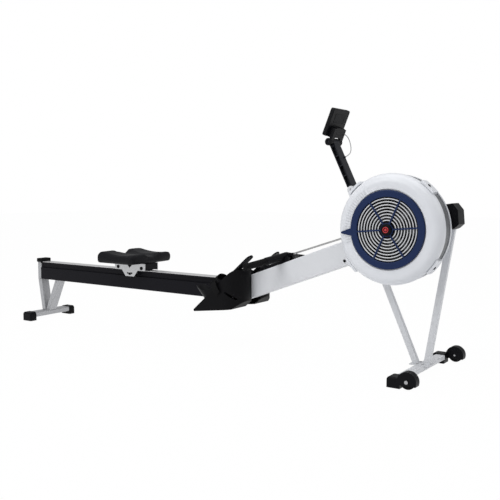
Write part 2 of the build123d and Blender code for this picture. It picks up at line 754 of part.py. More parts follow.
def shell_outline(inset: float, stop: float) -> None:
    """Half outline of the near shell's outer skin, moved inwards by an inset, down to a stop radius."""
    side = HOUSING_RADIUS - inset
    face = face_y + inset
    bend = SHOULDER_RADIUS - inset
    shoulder_x = HOUSING_RADIUS - SHOULDER_RADIUS
    shoulder_y = face_y + SHOULDER_RADIUS
    Line((side, near_rim), (side, shoulder_y))
    CenterArc((shoulder_x, shoulder_y), bend, 0, -90)
    Line((shoulder_x, face), (stop, face))


seat_edge = DAMPER_RADIUS + DAMPER_GAP
inner_edge = seat_edge + NEAR_SHELL_WALL
opening_radius = DAMPER_RADIUS - DAMPER_WIDTH + DAMPER_LAP
with BuildPart() as near_shell:
    with BuildSketch(axle_plane(0)):
        with BuildLine():
            shell_outline(0, seat_edge)
            Polyline(
                (seat_edge, face_y),
                (seat_edge, seat_y),
                (opening_radius, seat_y),
                (opening_radius, seat_y + NEAR_SHELL_WALL),
                (inner_edge, seat_y + NEAR_SHELL_WALL),
                (inner_edge, face_y + NEAR_SHELL_WALL),
            )
            shell_outline(NEAR_SHELL_WALL, inner_edge)
            Line((HOUSING_RADIUS - NEAR_SHELL_WALL, near_rim), (HOUSING_RADIUS, near_rim))
        make_face()
    revolve(axis=axle_line)
    with BuildSketch(axle_plane(SCALE_START)):
        with BuildLine():
            shell_outline(-1, seat_edge)
            shell_outline(SCALE_DEPTH, seat_edge)
            Line((seat_edge, face_y - 1), (seat_edge, face_y + SCALE_DEPTH))
            Line((HOUSING_RADIUS + 1, near_rim), (HOUSING_RADIUS - SCALE_DEPTH, near_rim))
        make_face()
    revolve(axis=axle_line, revolution_arc=SCALE_START - SCALE_END, mode=Mode.SUBTRACT)
save(near_shell, "housing_near_shell")

with BuildPart() as clips:
    for clip_angle in CLIP_ANGLES:
        with BuildSketch(axle_plane(clip_angle + CLIP_ARC / 2)):
            with BuildLine():
                Polyline(
                    (HOUSING_RADIUS, near_rim - CLIP_OVERLAP),
                    (HOUSING_RADIUS + CLIP_THICKNESS, near_rim - CLIP_OVERLAP),
                    (HOUSING_RADIUS + CLIP_THICKNESS, near_rim + CLIP_REACH),
                    (FAR_SHELL_RADIUS, near_rim + CLIP_REACH),
                    (FAR_SHELL_RADIUS, near_rim),
                    (HOUSING_RADIUS, near_rim),
                    close=True,
                )
            make_face()
        revolve(axis=axle_line, revolution_arc=CLIP_ARC)
    fillet(clips.edges().filter_by(Axis.Y, reverse=True).group_by(Axis.Y)[0].filter_by(GeomType.LINE), 3)
save(clips, "housing_clips")

# Intake plate with windows behind the damper, and the stub that the damper turns on
intake_y = seat_y + NEAR_SHELL_WALL
window_inner = HUB_RADIUS + WINDOW_MARGIN
window_outer = DAMPER_RADIUS - DAMPER_WIDTH - WINDOW_MARGIN


def window_sketch() -> None:
    """Ring sectors that let air through, spaced evenly round the axle."""
    mid = (window_inner + window_outer) / 2
    with PolarLocations(mid, WINDOWS):
        Rectangle(window_outer - window_inner, 2 * mid * sin(radians(WINDOW_ARC / 2)), mode=Mode.SUBTRACT)


with BuildPart() as intake:
    with BuildSketch(axle_face(intake_y + INTAKE_THICKNESS)):
        Circle(opening_radius + INTAKE_LAP)
        window_sketch()
    extrude(amount=INTAKE_THICKNESS)
    with BuildSketch(axle_face(intake_y)):
        Circle(STUB_RADIUS)
    extrude(amount=intake_y - damper_front - STUB_SHORT)
save(intake, "intake_plate")

# Damper: a dark ring with a pointer, spokes and hub that turns on the stub
ring_inner = DAMPER_RADIUS - DAMPER_WIDTH
with BuildPart() as damper:
    with BuildSketch(axle_face(damper_front + DAMPER_THICKNESS)):
        Circle(DAMPER_RADIUS)
        Circle(ring_inner, mode=Mode.SUBTRACT)
    extrude(amount=DAMPER_THICKNESS)
    fillet(damper.edges().filter_by(GeomType.CIRCLE).group_by(Axis.Y)[0], DAMPER_ROUND)
    with BuildSketch(axle_face(damper_front + SPOKE_THICKNESS)):
        with PolarLocations((HUB_RADIUS + ring_inner) / 2, SPOKES, start_angle=SPOKE_ANGLE):
            Rectangle(ring_inner - HUB_RADIUS + SPOKE_THICKNESS, SPOKE_WIDTH)
        Circle(HUB_RADIUS)
    extrude(amount=SPOKE_THICKNESS)
    with BuildSketch(axle_face(face_y - RUN_GAP)):
        root = POINTER_ROOT / 2
        tip = POINTER_TIP / 2
        tip_reach = POINTER_REACH + POINTER_LAP
        with PolarLocations(DAMPER_RADIUS - POINTER_LAP, 1, start_angle=POINTER_ANGLE):
            Polygon((0, -root), (tip_reach, -tip), (tip_reach, tip), (0, root), align=None)
    extrude(amount=POINTER_THICKNESS)
    with BuildSketch(axle_face(0)):
        Circle(STUB_RADIUS + SHAFT_GAP)
    extrude(amount=HOUSING_RADIUS + HALF_WIDTH, mode=Mode.SUBTRACT)
save(damper, "damper_ring")

guard_back = damper_front + SPOKE_THICKNESS + GUARD_THICKNESS
with BuildPart() as guard:
    with BuildSketch(axle_face(guard_back)):
        for ring in range(int((ring_inner - HUB_RADIUS) / GUARD_PITCH)):
            ring_radius = ring_inner - GUARD_PITCH * (ring + 0.55)
            Circle(ring_radius + GUARD_BAR / 2)
            Circle(ring_radius - GUARD_BAR / 2, mode=Mode.SUBTRACT)
    extrude(amount=GUARD_THICKNESS)
save(guard, "guard_rings")

with BuildPart() as shutter:
    with BuildSketch(axle_face(guard_back + SHUTTER_THICKNESS)):
        Circle(ring_inner)
        Circle(STUB_RADIUS + SHAFT_GAP, mode=Mode.SUBTRACT)
        window_sketch()
    extrude(amount=SHUTTER_THICKNESS)
save(shutter, "damper_shutter")

with BuildPart() as hub_cap:
    with BuildSketch(axle_face(damper_front)):
        Circle(HUB_CAP_RADIUS)
    extrude(amount=HUB_CAP_HEIGHT)
    fillet(hub_cap.edges().group_by(Axis.Y)[0], 5)
save(hub_cap, "hub_cap")

# Flywheel: an axle in two bearings, a heavy disc and fan blades
fan_back = far_back - FAR_SHELL_WALL - FAN_CLEAR
fan_front = fan_back - FAN_WIDTH
with BuildPart() as axle:
    with BuildSketch(axle_face(beam_half + BOLT_HEAD)):
        Circle(AXLE_RADIUS)
    extrude(amount=beam_half + BOLT_HEAD - fan_front)
save(axle, "flywheel_axle")

with BuildPart() as fan:
    with BuildSketch(axle_face(fan_back)):
        Circle(FAN_RADIUS)
        Circle(AXLE_RADIUS, mode=Mode.SUBTRACT)
    extrude(amount=FAN_DISC)
    with BuildSketch(axle_face(fan_back)):
        Circle(WEIGHT_RADIUS)
        Circle(AXLE_RADIUS, mode=Mode.SUBTRACT)
    extrude(amount=WEIGHT_THICKNESS)
    with BuildSketch(axle_face(fan_back)):
        Circle(FAN_HUB_RADIUS)
        Circle(AXLE_RADIUS, mode=Mode.SUBTRACT)
    extrude(amount=FAN_WIDTH)
    with BuildSketch(axle_face(fan_back)):
        with PolarLocations(FAN_RADIUS - BLADE_REACH / 2, FAN_BLADES):
            Rectangle(BLADE_REACH - BLADE_THICKNESS, BLADE_THICKNESS)
    extrude(amount=FAN_WIDTH)
save(fan, "flywheel_fan")

with BuildPart() as bearings:
    with BuildSketch(axle_face(-beam_half + BEAM_WALL + BEARING_LIP)):
        Circle(BEARING_RADIUS - SHAFT_GAP)
        Circle(AXLE_RADIUS + SHAFT_GAP, mode=Mode.SUBTRACT)
    extrude(amount=BEAM_WALL + BEARING_LIP)
    mirror(about=Plane.XZ)
save(bearings, "axle_bearings")

# Sprocket with its one-way clutch, inside the beam
roller_pocket = ROLLER_RADIUS + ROLLER_GAP
pin_start = 90 + degrees(run_angle)
with BuildPart() as sprocket:
    with BuildSketch(axle_face(SPROCKET_THICKNESS / 2)):
        Circle(pitch_radius + TOOTH_RISE)
        Circle(AXLE_RADIUS + SHAFT_GAP, mode=Mode.SUBTRACT)
        with PolarLocations(pitch_radius, SPROCKET_TEETH, start_angle=pin_start):
            Circle(roller_pocket, mode=Mode.SUBTRACT)
    extrude(amount=SPROCKET_THICKNESS)
save(sprocket, "sprocket")

with BuildPart() as clutch:
    with BuildSketch(axle_face(SPROCKET_THICKNESS / 2 + CLUTCH_LENGTH)):
        Circle(AXLE_RADIUS * 2)
        Circle(AXLE_RADIUS + SHAFT_GAP, mode=Mode.SUBTRACT)
    extrude(amount=CLUTCH_LENGTH)
save(clutch, "one_way_clutch")

# Chain: outer links carry the pins, inner links carry the rollers
inner_side = INNER_GAP / 2
outer_side = inner_side + PLATE_THICKNESS + PLATE_GAP
with BuildPart() as outer_link:
    with BuildSketch(Plane.XZ.offset(outer_side)):
        with Locations((CHAIN_PITCH / 2, 0)):
            SlotCenterToCenter(CHAIN_PITCH, PLATE_HEIGHT)
    extrude(amount=PLATE_THICKNESS)
    mirror(about=Plane.XZ)
    with BuildSketch(Plane.XZ):
        with Locations((0, 0), (CHAIN_PITCH, 0)):
            Circle(PIN_RADIUS)
    extrude(amount=outer_side + PLATE_THICKNESS, both=True)

with BuildPart() as inner_link:
    with BuildSketch(Plane.XZ.offset(inner_side)):
        with Locations((CHAIN_PITCH / 2, 0)):
            SlotCenterToCenter(CHAIN_PITCH, PLATE_HEIGHT)
    extrude(amount=PLATE_THICKNESS)
    mirror(about=Plane.XZ)
    with BuildSketch(Plane.XZ):
        with Locations((0, 0), (CHAIN_PITCH, 0)):
            Circle(ROLLER_RADIUS)
    extrude(amount=inner_side, both=True)
    with BuildSketch(Plane.XZ):
        with Locations((0, 0), (CHAIN_PITCH, 0)):
            Circle(PIN_RADIUS + SHAFT_GAP)
    extrude(amount=inner_side + PLATE_THICKNESS, both=True, mode=Mode.SUBTRACT)


def link_places(pins: list[tuple[float, float]], first: int) -> list[Location]:
    """Places of every second link along a row of pins, starting at the given one."""
    places = []
    for index in range(first, len(pins) - 1, 2):
        here = pins[index]
        there = pins[index + 1]
        turn = degrees(atan2(there[1] - here[1], there[0] - here[0]))
        places.append(Location((here[0], 0, here[1]), (0, -turn, 0)))
    return places


top_x = AXLE_X - pitch_radius * sin(run_angle)
top_z = AXLE_Z + pitch_radius * cos(run_angle)
run_links = int(hypot(top_x - run_x, top_z - run_z) / CHAIN_PITCH)
run_links -= 1 - run_links % 2
run_pins = []
for index in range(run_links, -1, -1):
    reach = index * CHAIN_PITCH
    run_pins.append((top_x - reach * cos(run_angle), top_z - reach * sin(run_angle)))
wrap_links = SPROCKET_TEETH // 2
tail_pins = []
for index in range(wrap_links):
    turn = radians(pin_start - index * 360 / SPROCKET_TEETH)
    tail_pins.append((AXLE_X + pitch_radius * cos(turn), AXLE_Z + pitch_radius * sin(turn)))
for index in range(RETURN_LINKS):
    reach = index * CHAIN_PITCH
    tail_pins.append((tail_x - reach * cos(run_angle), tail_z - reach * sin(run_angle)))

with BuildPart() as drive_chain:
    with Locations(link_places(run_pins, 0)):
        add(outer_link.part)
    with Locations(link_places(run_pins, 1)):
        add(inner_link.part)
save(drive_chain, "drive_chain")

with BuildPart() as return_chain:
    with Locations(link_places(tail_pins, 0)):
        add(inner_link.part)
    with Locations(link_places(tail_pins, 1)):
        add(outer_link.part)
save(return_chain, "return_chain")

# Return cord inside the beam, round a pulley at the rear and back to its anchor
cord_start = tail_pins[-1]
along = (cos(run_angle), sin(run_angle))
across = (-sin(run_angle), cos(run_angle))
cord_x = cord_start[0] - (PLATE_HEIGHT / 2 + RUN_GAP) * along[0]
cord_z = cord_start[1] - (PLATE_HEIGHT / 2 + RUN_GAP) * along[1]
turn_x = PULLEY_X + cord_turn * across[0]
turn_z = pulley_z + cord_turn * across[1]
back_x = PULLEY_X - cord_turn * across[0]
back_z = pulley_z - cord_turn * across[1]
anchor_reach = (CORD_ANCHOR_X - back_x) / along[0]
anchor_z = back_z + anchor_reach * along[1]
with BuildPart() as cord:
    with BuildLine() as cord_path:
        Line((cord_x, 0, cord_z), (turn_x, 0, turn_z))
        rear_x = PULLEY_X - cord_turn * along[0]
        rear_z = pulley_z - cord_turn * along[1]
        ThreePointArc((turn_x, 0, turn_z), (rear_x, 0, rear_z), (back_x, 0, back_z))
        Line((back_x, 0, back_z), (CORD_ANCHOR_X, 0, anchor_z))
    with BuildSketch(Plane(origin=(cord_x, 0, cord_z), z_dir=(-along[0], 0, -along[1]))):
        Circle(CORD_RADIUS)
    sweep(path=cord_path.wires()[0])
save(cord, "return_cord")

with BuildPart() as pulley:
    with BuildSketch(Plane(origin=(PULLEY_X, 0, pulley_z), z_dir=(0, 0, 1))):
        with BuildLine():
            flange = cord_turn + 2
            half = PULLEY_WIDTH / 2
            groove = CORD_RADIUS + RUN_GAP
            bore = PULLEY_PIN_RADIUS + SHAFT_GAP
            Polyline((flange, -groove), (flange, -half), (bore, -half), (bore, half))
            Polyline((bore, half), (flange, half), (flange, groove))
            Line((flange, groove), (cord_turn, groove))
            CenterArc((cord_turn, 0), groove, 90, 180)
            Line((cord_turn, -groove), (flange, -groove))
        make_face()
    revolve(axis=Axis((PULLEY_X, 0, pulley_z), (0, 1, 0)))
save(pulley, "cord_pulley")

# Handle: a body with two swept arms, rubber grips and a chain eye, resting in a hook on the beam
arm_length = Vector(-HANDLE_SWEEP, HANDLE_SPAN, -HANDLE_DROOP).length
body_length = arm_length * HANDLE_BODY_SPAN / HANDLE_SPAN


def handle_plane(reach: float, side: float = 1) -> Plane:
    """Plane square to one arm of the handle, at a reach from the handle's middle; side 1 is the left arm."""
    middle = Vector(HANDLE_X, 0, HANDLE_Z)
    arm_way = Vector(-HANDLE_SWEEP, side * HANDLE_SPAN, -HANDLE_DROOP).normalized()
    return Plane(origin=middle + arm_way * reach, z_dir=arm_way)


chain_end = run_pins[0]
with BuildPart() as handle:
    with BuildSketch(handle_plane(0)):
        Circle(HANDLE_BODY_RADIUS)
    extrude(amount=body_length)
    fillet(handle.edges().filter_by(GeomType.CIRCLE).group_by(Axis.Y)[-1], 5)
    with BuildSketch(handle_plane(0)):
        Circle(GRIP_CORE)
    extrude(amount=arm_length)
    split(bisect_by=Plane.XZ, keep=Keep.BOTTOM)
    mirror(about=Plane.XZ)
    with BuildSketch(Plane.XZ):
        with Locations((HANDLE_X, HANDLE_Z)):
            Circle(HANDLE_BODY_RADIUS)
        with BuildLine():
            Polyline(
                (HANDLE_X, HANDLE_Z - EYE_HALF),
                (chain_end[0] + EYE_LIP, chain_end[1] - EYE_HALF),
                (chain_end[0] + EYE_LIP, chain_end[1] + EYE_HALF),
                (HANDLE_X, HANDLE_Z + 2 * EYE_HALF),
                close=True,
            )
        make_face()
    extrude(amount=EYE_WIDTH / 2, both=True)
    with BuildSketch(Plane.XZ):
        with Locations(chain_end):
            Circle(PLATE_HEIGHT / 2 + RUN_GAP)
        with BuildLine():
            clear = PLATE_HEIGHT / 2 + RUN_GAP
            Polyline(
                (chain_end[0], chain_end[1] - clear),
                (chain_end[0] + CHAIN_PITCH, chain_end[1] + CHAIN_PITCH * along[1] - clear),
                (chain_end[0] + CHAIN_PITCH, chain_end[1] + CHAIN_PITCH * along[1] + clear),
                (chain_end[0], chain_end[1] + clear),
                close=True,
            )
        make_face()
    extrude(amount=outer_side + PLATE_THICKNESS + RUN_GAP, both=True, mode=Mode.SUBTRACT)
save(handle, "handle_body")

with BuildPart() as grips:
    with BuildSketch(handle_plane(body_length)):
        Circle(GRIP_RADIUS)
        Circle(GRIP_CORE, mode=Mode.SUBTRACT)
    extrude(amount=arm_length - body_length)
    with BuildSketch(handle_plane(arm_length)):
        Circle(GRIP_RADIUS)
    extrude(amount=GRIP_END)
    fillet(grips.edges().filter_by(GeomType.CIRCLE).group_by(Axis.Y)[-1], 2.5)
    mirror(about=Plane.XZ)
save(grips, "handle_grips")

with BuildPart() as hook:
    cradle = HANDLE_BODY_RADIUS + 3 * RUN_GAP
    saddle_rear = HANDLE_X - HOOK_LENGTH / 2 - SADDLE_LENGTH
    hook_front = HANDLE_X + HOOK_LENGTH / 2
    with BuildSketch(Plane.XZ):
        with BuildLine():
            Polyline(
                (saddle_rear, beam_top(saddle_rear)),
                (saddle_rear + SADDLE_HEIGHT, beam_top(saddle_rear + SADDLE_HEIGHT) + SADDLE_HEIGHT),
                (HANDLE_X - HOOK_FLOOR, HANDLE_Z - cradle + HOOK_FLOOR / 2),
                (HANDLE_X, HANDLE_Z - HOOK_FLOOR),
                (hook_front - HOOK_FLOOR, HANDLE_Z + HOOK_FLOOR / 2),
                (hook_front, HANDLE_Z - HOOK_FLOOR / 2),
                (hook_front, beam_top(hook_front)),
                close=True,
            )
        make_face()
    extrude(amount=HOOK_WIDTH / 2, both=True)
    for side in (-1, 1):
        with BuildSketch(handle_plane(-HANDLE_BODY_RADIUS, side)):
            Circle(cradle)
        extrude(amount=HOOK_WIDTH, mode=Mode.SUBTRACT)
    slot_low = beam_top(HANDLE_X) + HOOK_FLOOR
    with BuildSketch(Plane.YZ.offset(HANDLE_X)):
        with Locations((0, slot_low)):
            Rectangle(HOOK_SLOT, HOOK_LENGTH, align=MIN_Y)
    extrude(amount=HOOK_LENGTH, mode=Mode.SUBTRACT)
save(hook, "handle_hook")

# Foot stretchers: hollow wedges on both sides, each with a sliding sole, heel cup and strap
deck_x = FOOT_X + DECK_LENGTH * cos(foot_slope)
deck_z = FOOT_Z + DECK_LENGTH * sin(foot_slope)


def sole_plane(side: float, place: float, height: float) -> Plane:
    """Plane on one foot deck: x runs up the slope, y is the machine's Y, z stands off the deck."""
    origin = Vector(FOOT_X, side * SOLE_CENTRE, FOOT_Z)
    up = Vector(cos(foot_slope), 0, sin(foot_slope))
    out = Vector(-sin(foot_slope), 0, cos(foot_slope))
    return Plane(origin=origin + up * place + out * height, x_dir=up, z_dir=out)


board_outline = (
    (FOOT_X, FOOT_Z),
    (deck_x, deck_z),
    (BOARD_FRONT_X, BOARD_FRONT_TOP),
    (BOARD_FRONT_X, BOARD_FRONT_LOW),
    (BOARD_BELLY_X, BOARD_BELLY_Z),
)


def board_plan(side: float, wall: float) -> None:
    """Plan of a footboard, drawn in by a wall: its outer cheek curves in towards the front."""
    outer = side * (BOARD_OUTER - wall)
    nose = (beam_rear + BOARD_NOSE - wall, side * (BOARD_INNER + BOARD_NOSE_FLAT))
    cheek = TangentArc((beam_rear + CHEEK_REACH, outer), nose, tangent=(1, 0))
    Polyline(
        cheek @ 1,
        (nose[0], side * BOARD_INNER),
        (FOOT_X - BOARD_ROUND, side * BOARD_INNER),
        (FOOT_X - BOARD_ROUND, outer),
        cheek @ 0,
    )


for side, side_name in ((-1, "right"), (1, "left")):
    with BuildPart() as board_core:
        with BuildSketch(Plane.XZ.offset(-side * BOARD_INNER)):
            with BuildLine():
                Polyline(*board_outline, close=True)
            make_face()
            offset(amount=-BOARD_WALL, mode=Mode.REPLACE)
        extrude(amount=-side * (BOARD_OUTER - BOARD_INNER))
        with BuildSketch(Plane.XY.offset(FOOT_Z)):
            with BuildLine():
                board_plan(side, BOARD_WALL)
            make_face()
        extrude(amount=DECK_LENGTH, mode=Mode.INTERSECT)
    with BuildPart() as board:
        with BuildSketch(Plane.XZ.offset(-side * BOARD_INNER)):
            with BuildLine():
                Polyline(*board_outline, close=True)
            make_face()
        extrude(amount=-side * (BOARD_OUTER - BOARD_INNER))
        fillet(board.edges().filter_by(Axis.Y), BOARD_ROUND)
        with BuildSketch(Plane.XY.offset(FOOT_Z)):
            with BuildLine():
                board_plan(side, 0)
            make_face()
        extrude(amount=DECK_LENGTH, mode=Mode.INTERSECT)
        add(board_core.part, mode=Mode.SUBTRACT)
        with BuildSketch(Plane.XZ.offset(-side * BOARD_INNER)):
            with Locations(Location((RECESS_X, RECESS_Z), RECESS_TURN)):
                SlotOverall(RECESS_LENGTH, RECESS_WIDTH)
        extrude(amount=-side * (BOARD_OUTER - BOARD_INNER), mode=Mode.SUBTRACT)
    save(board, f"footboard_{side_name}")

    sole_middle = (SOLE_HEEL + BALL_END) / 2
    sole_reach = BALL_END - SOLE_HEEL
    toe_rear = BALL_END - TOE_LAP
    with BuildPart() as sole:
        with BuildSketch(sole_plane(side, 0, RUN_GAP)):
            with Locations((sole_middle, 0)):
                SlotOverall(sole_reach, SOLE_WIDTH)
            with Locations(((toe_rear + SOLE_TOE) / 2, 0)):
                SlotOverall(SOLE_TOE - toe_rear, TOE_WIDTH)
            with Locations(((BALL_END + SOLE_TOE) / 2, 0)):
                with GridLocations(TOE_HOLE_PITCH, TOE_WIDTH / 2, TOE_HOLES, 2):
                    Circle(TOE_HOLE_RADIUS, mode=Mode.SUBTRACT)
        extrude(amount=SOLE_THICKNESS)
        with BuildSketch(sole_plane(side, 0, RUN_GAP)):
            with Locations((sole_middle, 0)):
                SlotOverall(sole_reach, SOLE_WIDTH)
                SlotOverall(sole_reach - 2 * HEEL_WALL, SOLE_WIDTH - 2 * HEEL_WALL, mode=Mode.SUBTRACT)
        extrude(amount=HEEL_HEIGHT)
        heel_back = SOLE_HEEL + HEEL_WALL
        cut_plane = sole_plane(side, 0, RUN_GAP)
        with BuildSketch(Plane(origin=cut_plane.origin, x_dir=cut_plane.x_dir, z_dir=(0, -1, 0))):
            with BuildLine():
                Polyline(
                    (heel_back, 2 * HEEL_HEIGHT),
                    (heel_back, HEEL_HEIGHT),
                    (heel_back + HEEL_EDGE, HEEL_HEIGHT - HEEL_EDGE / 2),
                    (heel_back + HEEL_RUN / 4, HEEL_HEIGHT / 2),
                    (heel_back + HEEL_RUN * 3 / 4, SOLE_THICKNESS + HEEL_EDGE),
                    (heel_back + HEEL_RUN, SOLE_THICKNESS),
                    (2 * SOLE_TOE, SOLE_THICKNESS),
                    (2 * SOLE_TOE, 2 * HEEL_HEIGHT),
                    close=True,
                )
            make_face()
        extrude(amount=SOLE_WIDTH, both=True, mode=Mode.SUBTRACT)
    save(sole, f"sole_{side_name}")

    with BuildPart() as strap:
        strap_base = sole_plane(side, STRAP_PLACE, RUN_GAP)
        strap_half = SOLE_WIDTH / 2 + STRAP_THICKNESS
        with BuildSketch(Plane(origin=strap_base.origin, x_dir=(0, 1, 0), z_dir=strap_base.x_dir)):
            with BuildLine():
                ThreePointArc((-strap_half, 0), (0, STRAP_HEIGHT), (strap_half, 0))
                edge = strap_half + STRAP_THICKNESS
                ThreePointArc((-edge, 0), (0, STRAP_HEIGHT + STRAP_THICKNESS), (edge, 0))
                Line((-edge, 0), (-strap_half, 0))
                Line((strap_half, 0), (edge, 0))
            make_face()
        extrude(amount=STRAP_WIDTH / 2, both=True)
    save(strap, f"strap_{side_name}")

# Seat: a contoured pad on a carriage with rollers above and below the rail's head
carriage_floor = CARRIAGE_TOP - CARRIAGE_PLATE
upper_roller_z = RAIL_TOP + RUN_GAP + UPPER_ROLLER_RADIUS
lower_roller_z = head_bottom - RUN_GAP - LOWER_ROLLER_RADIUS
carriage_half = CARRIAGE_WIDTH / 2
upper_pins = (
    (SEAT_X - UPPER_ROLLER_PLACE, upper_roller_z),
    (SEAT_X + UPPER_ROLLER_PLACE, upper_roller_z),
)
with BuildPart() as carriage:
    with BuildSketch(Plane.XY.offset(carriage_floor)):
        with Locations((SEAT_X, 0)):
            Rectangle(CARRIAGE_LENGTH, CARRIAGE_WIDTH)
    extrude(amount=CARRIAGE_PLATE)
    with BuildSketch(Plane.XY.offset(RAIL_TOP + BUMPER_CLEAR)):
        with Locations((SEAT_X, 0)):
            with GridLocations(CARRIAGE_LENGTH - BUMPER_THICKNESS, 1, 2, 1):
                Rectangle(BUMPER_THICKNESS, CARRIAGE_WIDTH)
    extrude(amount=carriage_floor - RAIL_TOP - BUMPER_CLEAR)
save(carriage, "carriage_frame")

tip_half = SIDE_PLATE_TIP / 2
with BuildPart() as side_plates:
    with BuildSketch(Plane.XZ.offset(carriage_half)):
        with BuildLine():
            half = CARRIAGE_LENGTH / 2
            plate_shoulder = upper_roller_z - UPPER_ROLLER_RADIUS
            Polyline(
                (SEAT_X - half, CARRIAGE_TOP),
                (SEAT_X - half, plate_shoulder),
                (SEAT_X - SIDE_PLATE_WAIST / 2, plate_shoulder),
                (SEAT_X - tip_half, SIDE_PLATE_LOW),
                (SEAT_X + tip_half, SIDE_PLATE_LOW),
                (SEAT_X + SIDE_PLATE_WAIST / 2, plate_shoulder),
                (SEAT_X + half, plate_shoulder),
                (SEAT_X + half, CARRIAGE_TOP),
                (SEAT_X + PLATE_NOTCH_WIDTH / 2, CARRIAGE_TOP),
                (SEAT_X, CARRIAGE_TOP - PLATE_NOTCH),
                (SEAT_X - PLATE_NOTCH_WIDTH / 2, CARRIAGE_TOP),
                close=True,
            )
        make_face()
        with Locations(*upper_pins):
            Circle(ROLLER_PIN_RADIUS, mode=Mode.SUBTRACT)
        with Locations((SEAT_X, lower_roller_z)):
            Circle(ROLLER_PIN_RADIUS, mode=Mode.SUBTRACT)
    extrude(amount=SIDE_PLATE)
    mirror(about=Plane.XZ)
save(side_plates, "carriage_side_plates")

roller_edge = web_width / 2 + ROLLER_CLEAR
with BuildPart() as roller_pins:
    with BuildSketch(Plane.XZ):
        with Locations(*upper_pins):
            Circle(ROLLER_PIN_RADIUS)
    extrude(amount=carriage_half + SIDE_PLATE, both=True)
    with BuildSketch(Plane.XZ.offset(carriage_half + SIDE_PLATE)):
        with Locations(*upper_pins):
            RegularPolygon(ROLLER_BOLT, 6)
        with Locations((SEAT_X, lower_roller_z)):
            RegularPolygon(ROLLER_BOLT, 6)
    extrude(amount=BOLT_HEAD)
    with BuildSketch(Plane.XZ.offset(roller_edge)):
        with Locations((SEAT_X, lower_roller_z)):
            Circle(ROLLER_PIN_RADIUS)
    extrude(amount=carriage_half + SIDE_PLATE - roller_edge)
    mirror(about=Plane.XZ)
save(roller_pins, "roller_pins")

for roller_name, place in (("rollers_rear", -UPPER_ROLLER_PLACE), ("rollers_front", UPPER_ROLLER_PLACE)):
    with BuildPart() as roller:
        with BuildSketch(Plane.XZ.offset(UPPER_ROLLER_Y - UPPER_ROLLER_WIDTH / 2)):
            with Locations((SEAT_X + place, upper_roller_z)):
                Circle(UPPER_ROLLER_RADIUS)
                Circle(ROLLER_PIN_RADIUS + SHAFT_GAP, mode=Mode.SUBTRACT)
        extrude(amount=UPPER_ROLLER_WIDTH)
        mirror(about=Plane.XZ)
    save(roller, roller_name)

with BuildPart() as lower_rollers:
    with BuildSketch(Plane.XZ.offset(roller_edge)):
        with Locations((SEAT_X, lower_roller_z)):
            Circle(LOWER_ROLLER_RADIUS)
            Circle(ROLLER_PIN_RADIUS + SHAFT_GAP, mode=Mode.SUBTRACT)
    extrude(amount=LOWER_ROLLER_WIDTH)
    mirror(about=Plane.XZ)
save(lower_rollers, "lower_rollers")

# Pad: a crowned cushion with drawn-in sides, a dished top, a channel along it and a tailbone notch
pad_rear = SEAT_X - PAD_SETBACK - SEAT_LENGTH / 2
pad_front = pad_rear + SEAT_LENGTH
pad_high = CARRIAGE_TOP + SEAT_THICKNESS


def pad_outline(inset: float) -> None:
    """Left half of the pad's outline seen from above, drawn in by an inset."""
    side = SEAT_WIDTH / 2 - inset
    front_arc = TangentArc((pad_front - inset, 0), (pad_front - FRONT_BOW - inset, side), tangent=(0, 1))
    Polyline(
        front_arc @ 1,
        (pad_rear + inset, side - REAR_TAPER),
        (pad_rear + inset, LOBE_Y),
        (pad_rear + SEAT_NOTCH + inset, 0),
    )


with BuildPart() as seat:
    for height, inset in (
        (0, PAD_TUCK),
        (SEAT_THICKNESS / 4, 0),
        (SEAT_THICKNESS - PAD_SHOULDER, PAD_TUCK),
        (SEAT_THICKNESS, PAD_TUCK + PAD_DRAW),
    ):
        with BuildSketch(Plane.XY.offset(CARRIAGE_TOP + height)) as pad_section:
            with BuildLine():
                pad_outline(inset)
                mirror(about=Plane.XZ)
            make_face()
            corners = pad_section.vertices().filter_by(lambda point: abs(point.Y) > LOBE_Y + 1)
            fillet(corners.group_by(Axis.X)[-1], FRONT_CORNER)
            fillet(corners.group_by(Axis.X)[0], REAR_CORNER)
            fillet(pad_section.vertices().filter_by(lambda point: abs(abs(point.Y) - LOBE_Y) < 1), LOBE_ROUND)
            notch = pad_section.vertices().filter_by_position(Axis.Y, -1, 1).sort_by(Axis.X)[0]
            fillet(notch, NOTCH_ROUND)
    loft()
    with BuildSketch(Plane.XZ):
        with Locations((SEAT_X + DISH_AHEAD, pad_high + DISH_RADIUS - DISH_SAG)):
            Circle(DISH_RADIUS)
    extrude(amount=SEAT_WIDTH, both=True, mode=Mode.SUBTRACT)
    with BuildSketch(Plane.YZ.offset(pad_rear)):
        with Locations((0, pad_high - DISH_SAG - GROOVE_SAG + GROOVE_RADIUS)):
            Circle(GROOVE_RADIUS)
    extrude(amount=SEAT_LENGTH, mode=Mode.SUBTRACT)
save(seat, "seat_pad")

# Monitor arm: a white post on the beam's left side, a folding channel arm and a tilting monitor
arm_near = ARM_Y - ARM_WIDTH / 2
arm_far = ARM_Y + ARM_WIDTH / 2
post_near = beam_half + POST_PLATE
post_far = post_near + POST_LAP
post_foot_z = (beam_top(ARM_POST_X) + beam_bottom(ARM_POST_X)) / 2
with BuildPart() as arm_post:
    with BuildSketch(Plane.XZ.offset(-post_near)):
        with Locations(Location((ARM_POST_X, post_foot_z), BEAM_ANGLE)):
            RectangleRounded(POST_PLATE_LENGTH, POST_PLATE_HEIGHT, 8)
    extrude(amount=POST_PLATE)
    with BuildSketch(Plane.XZ.offset(-post_far)):
        with Locations((ARM_PIVOT_X, ARM_PIVOT_Z), (ARM_POST_X, post_foot_z)):
            Circle(POST_TUBE / 2)
        make_hull()
        with Locations((ARM_PIVOT_X, ARM_PIVOT_Z)):
            Circle(HINGE_PIN_RADIUS, mode=Mode.SUBTRACT)
    extrude(amount=POST_LAP)
save(arm_post, "arm_post")

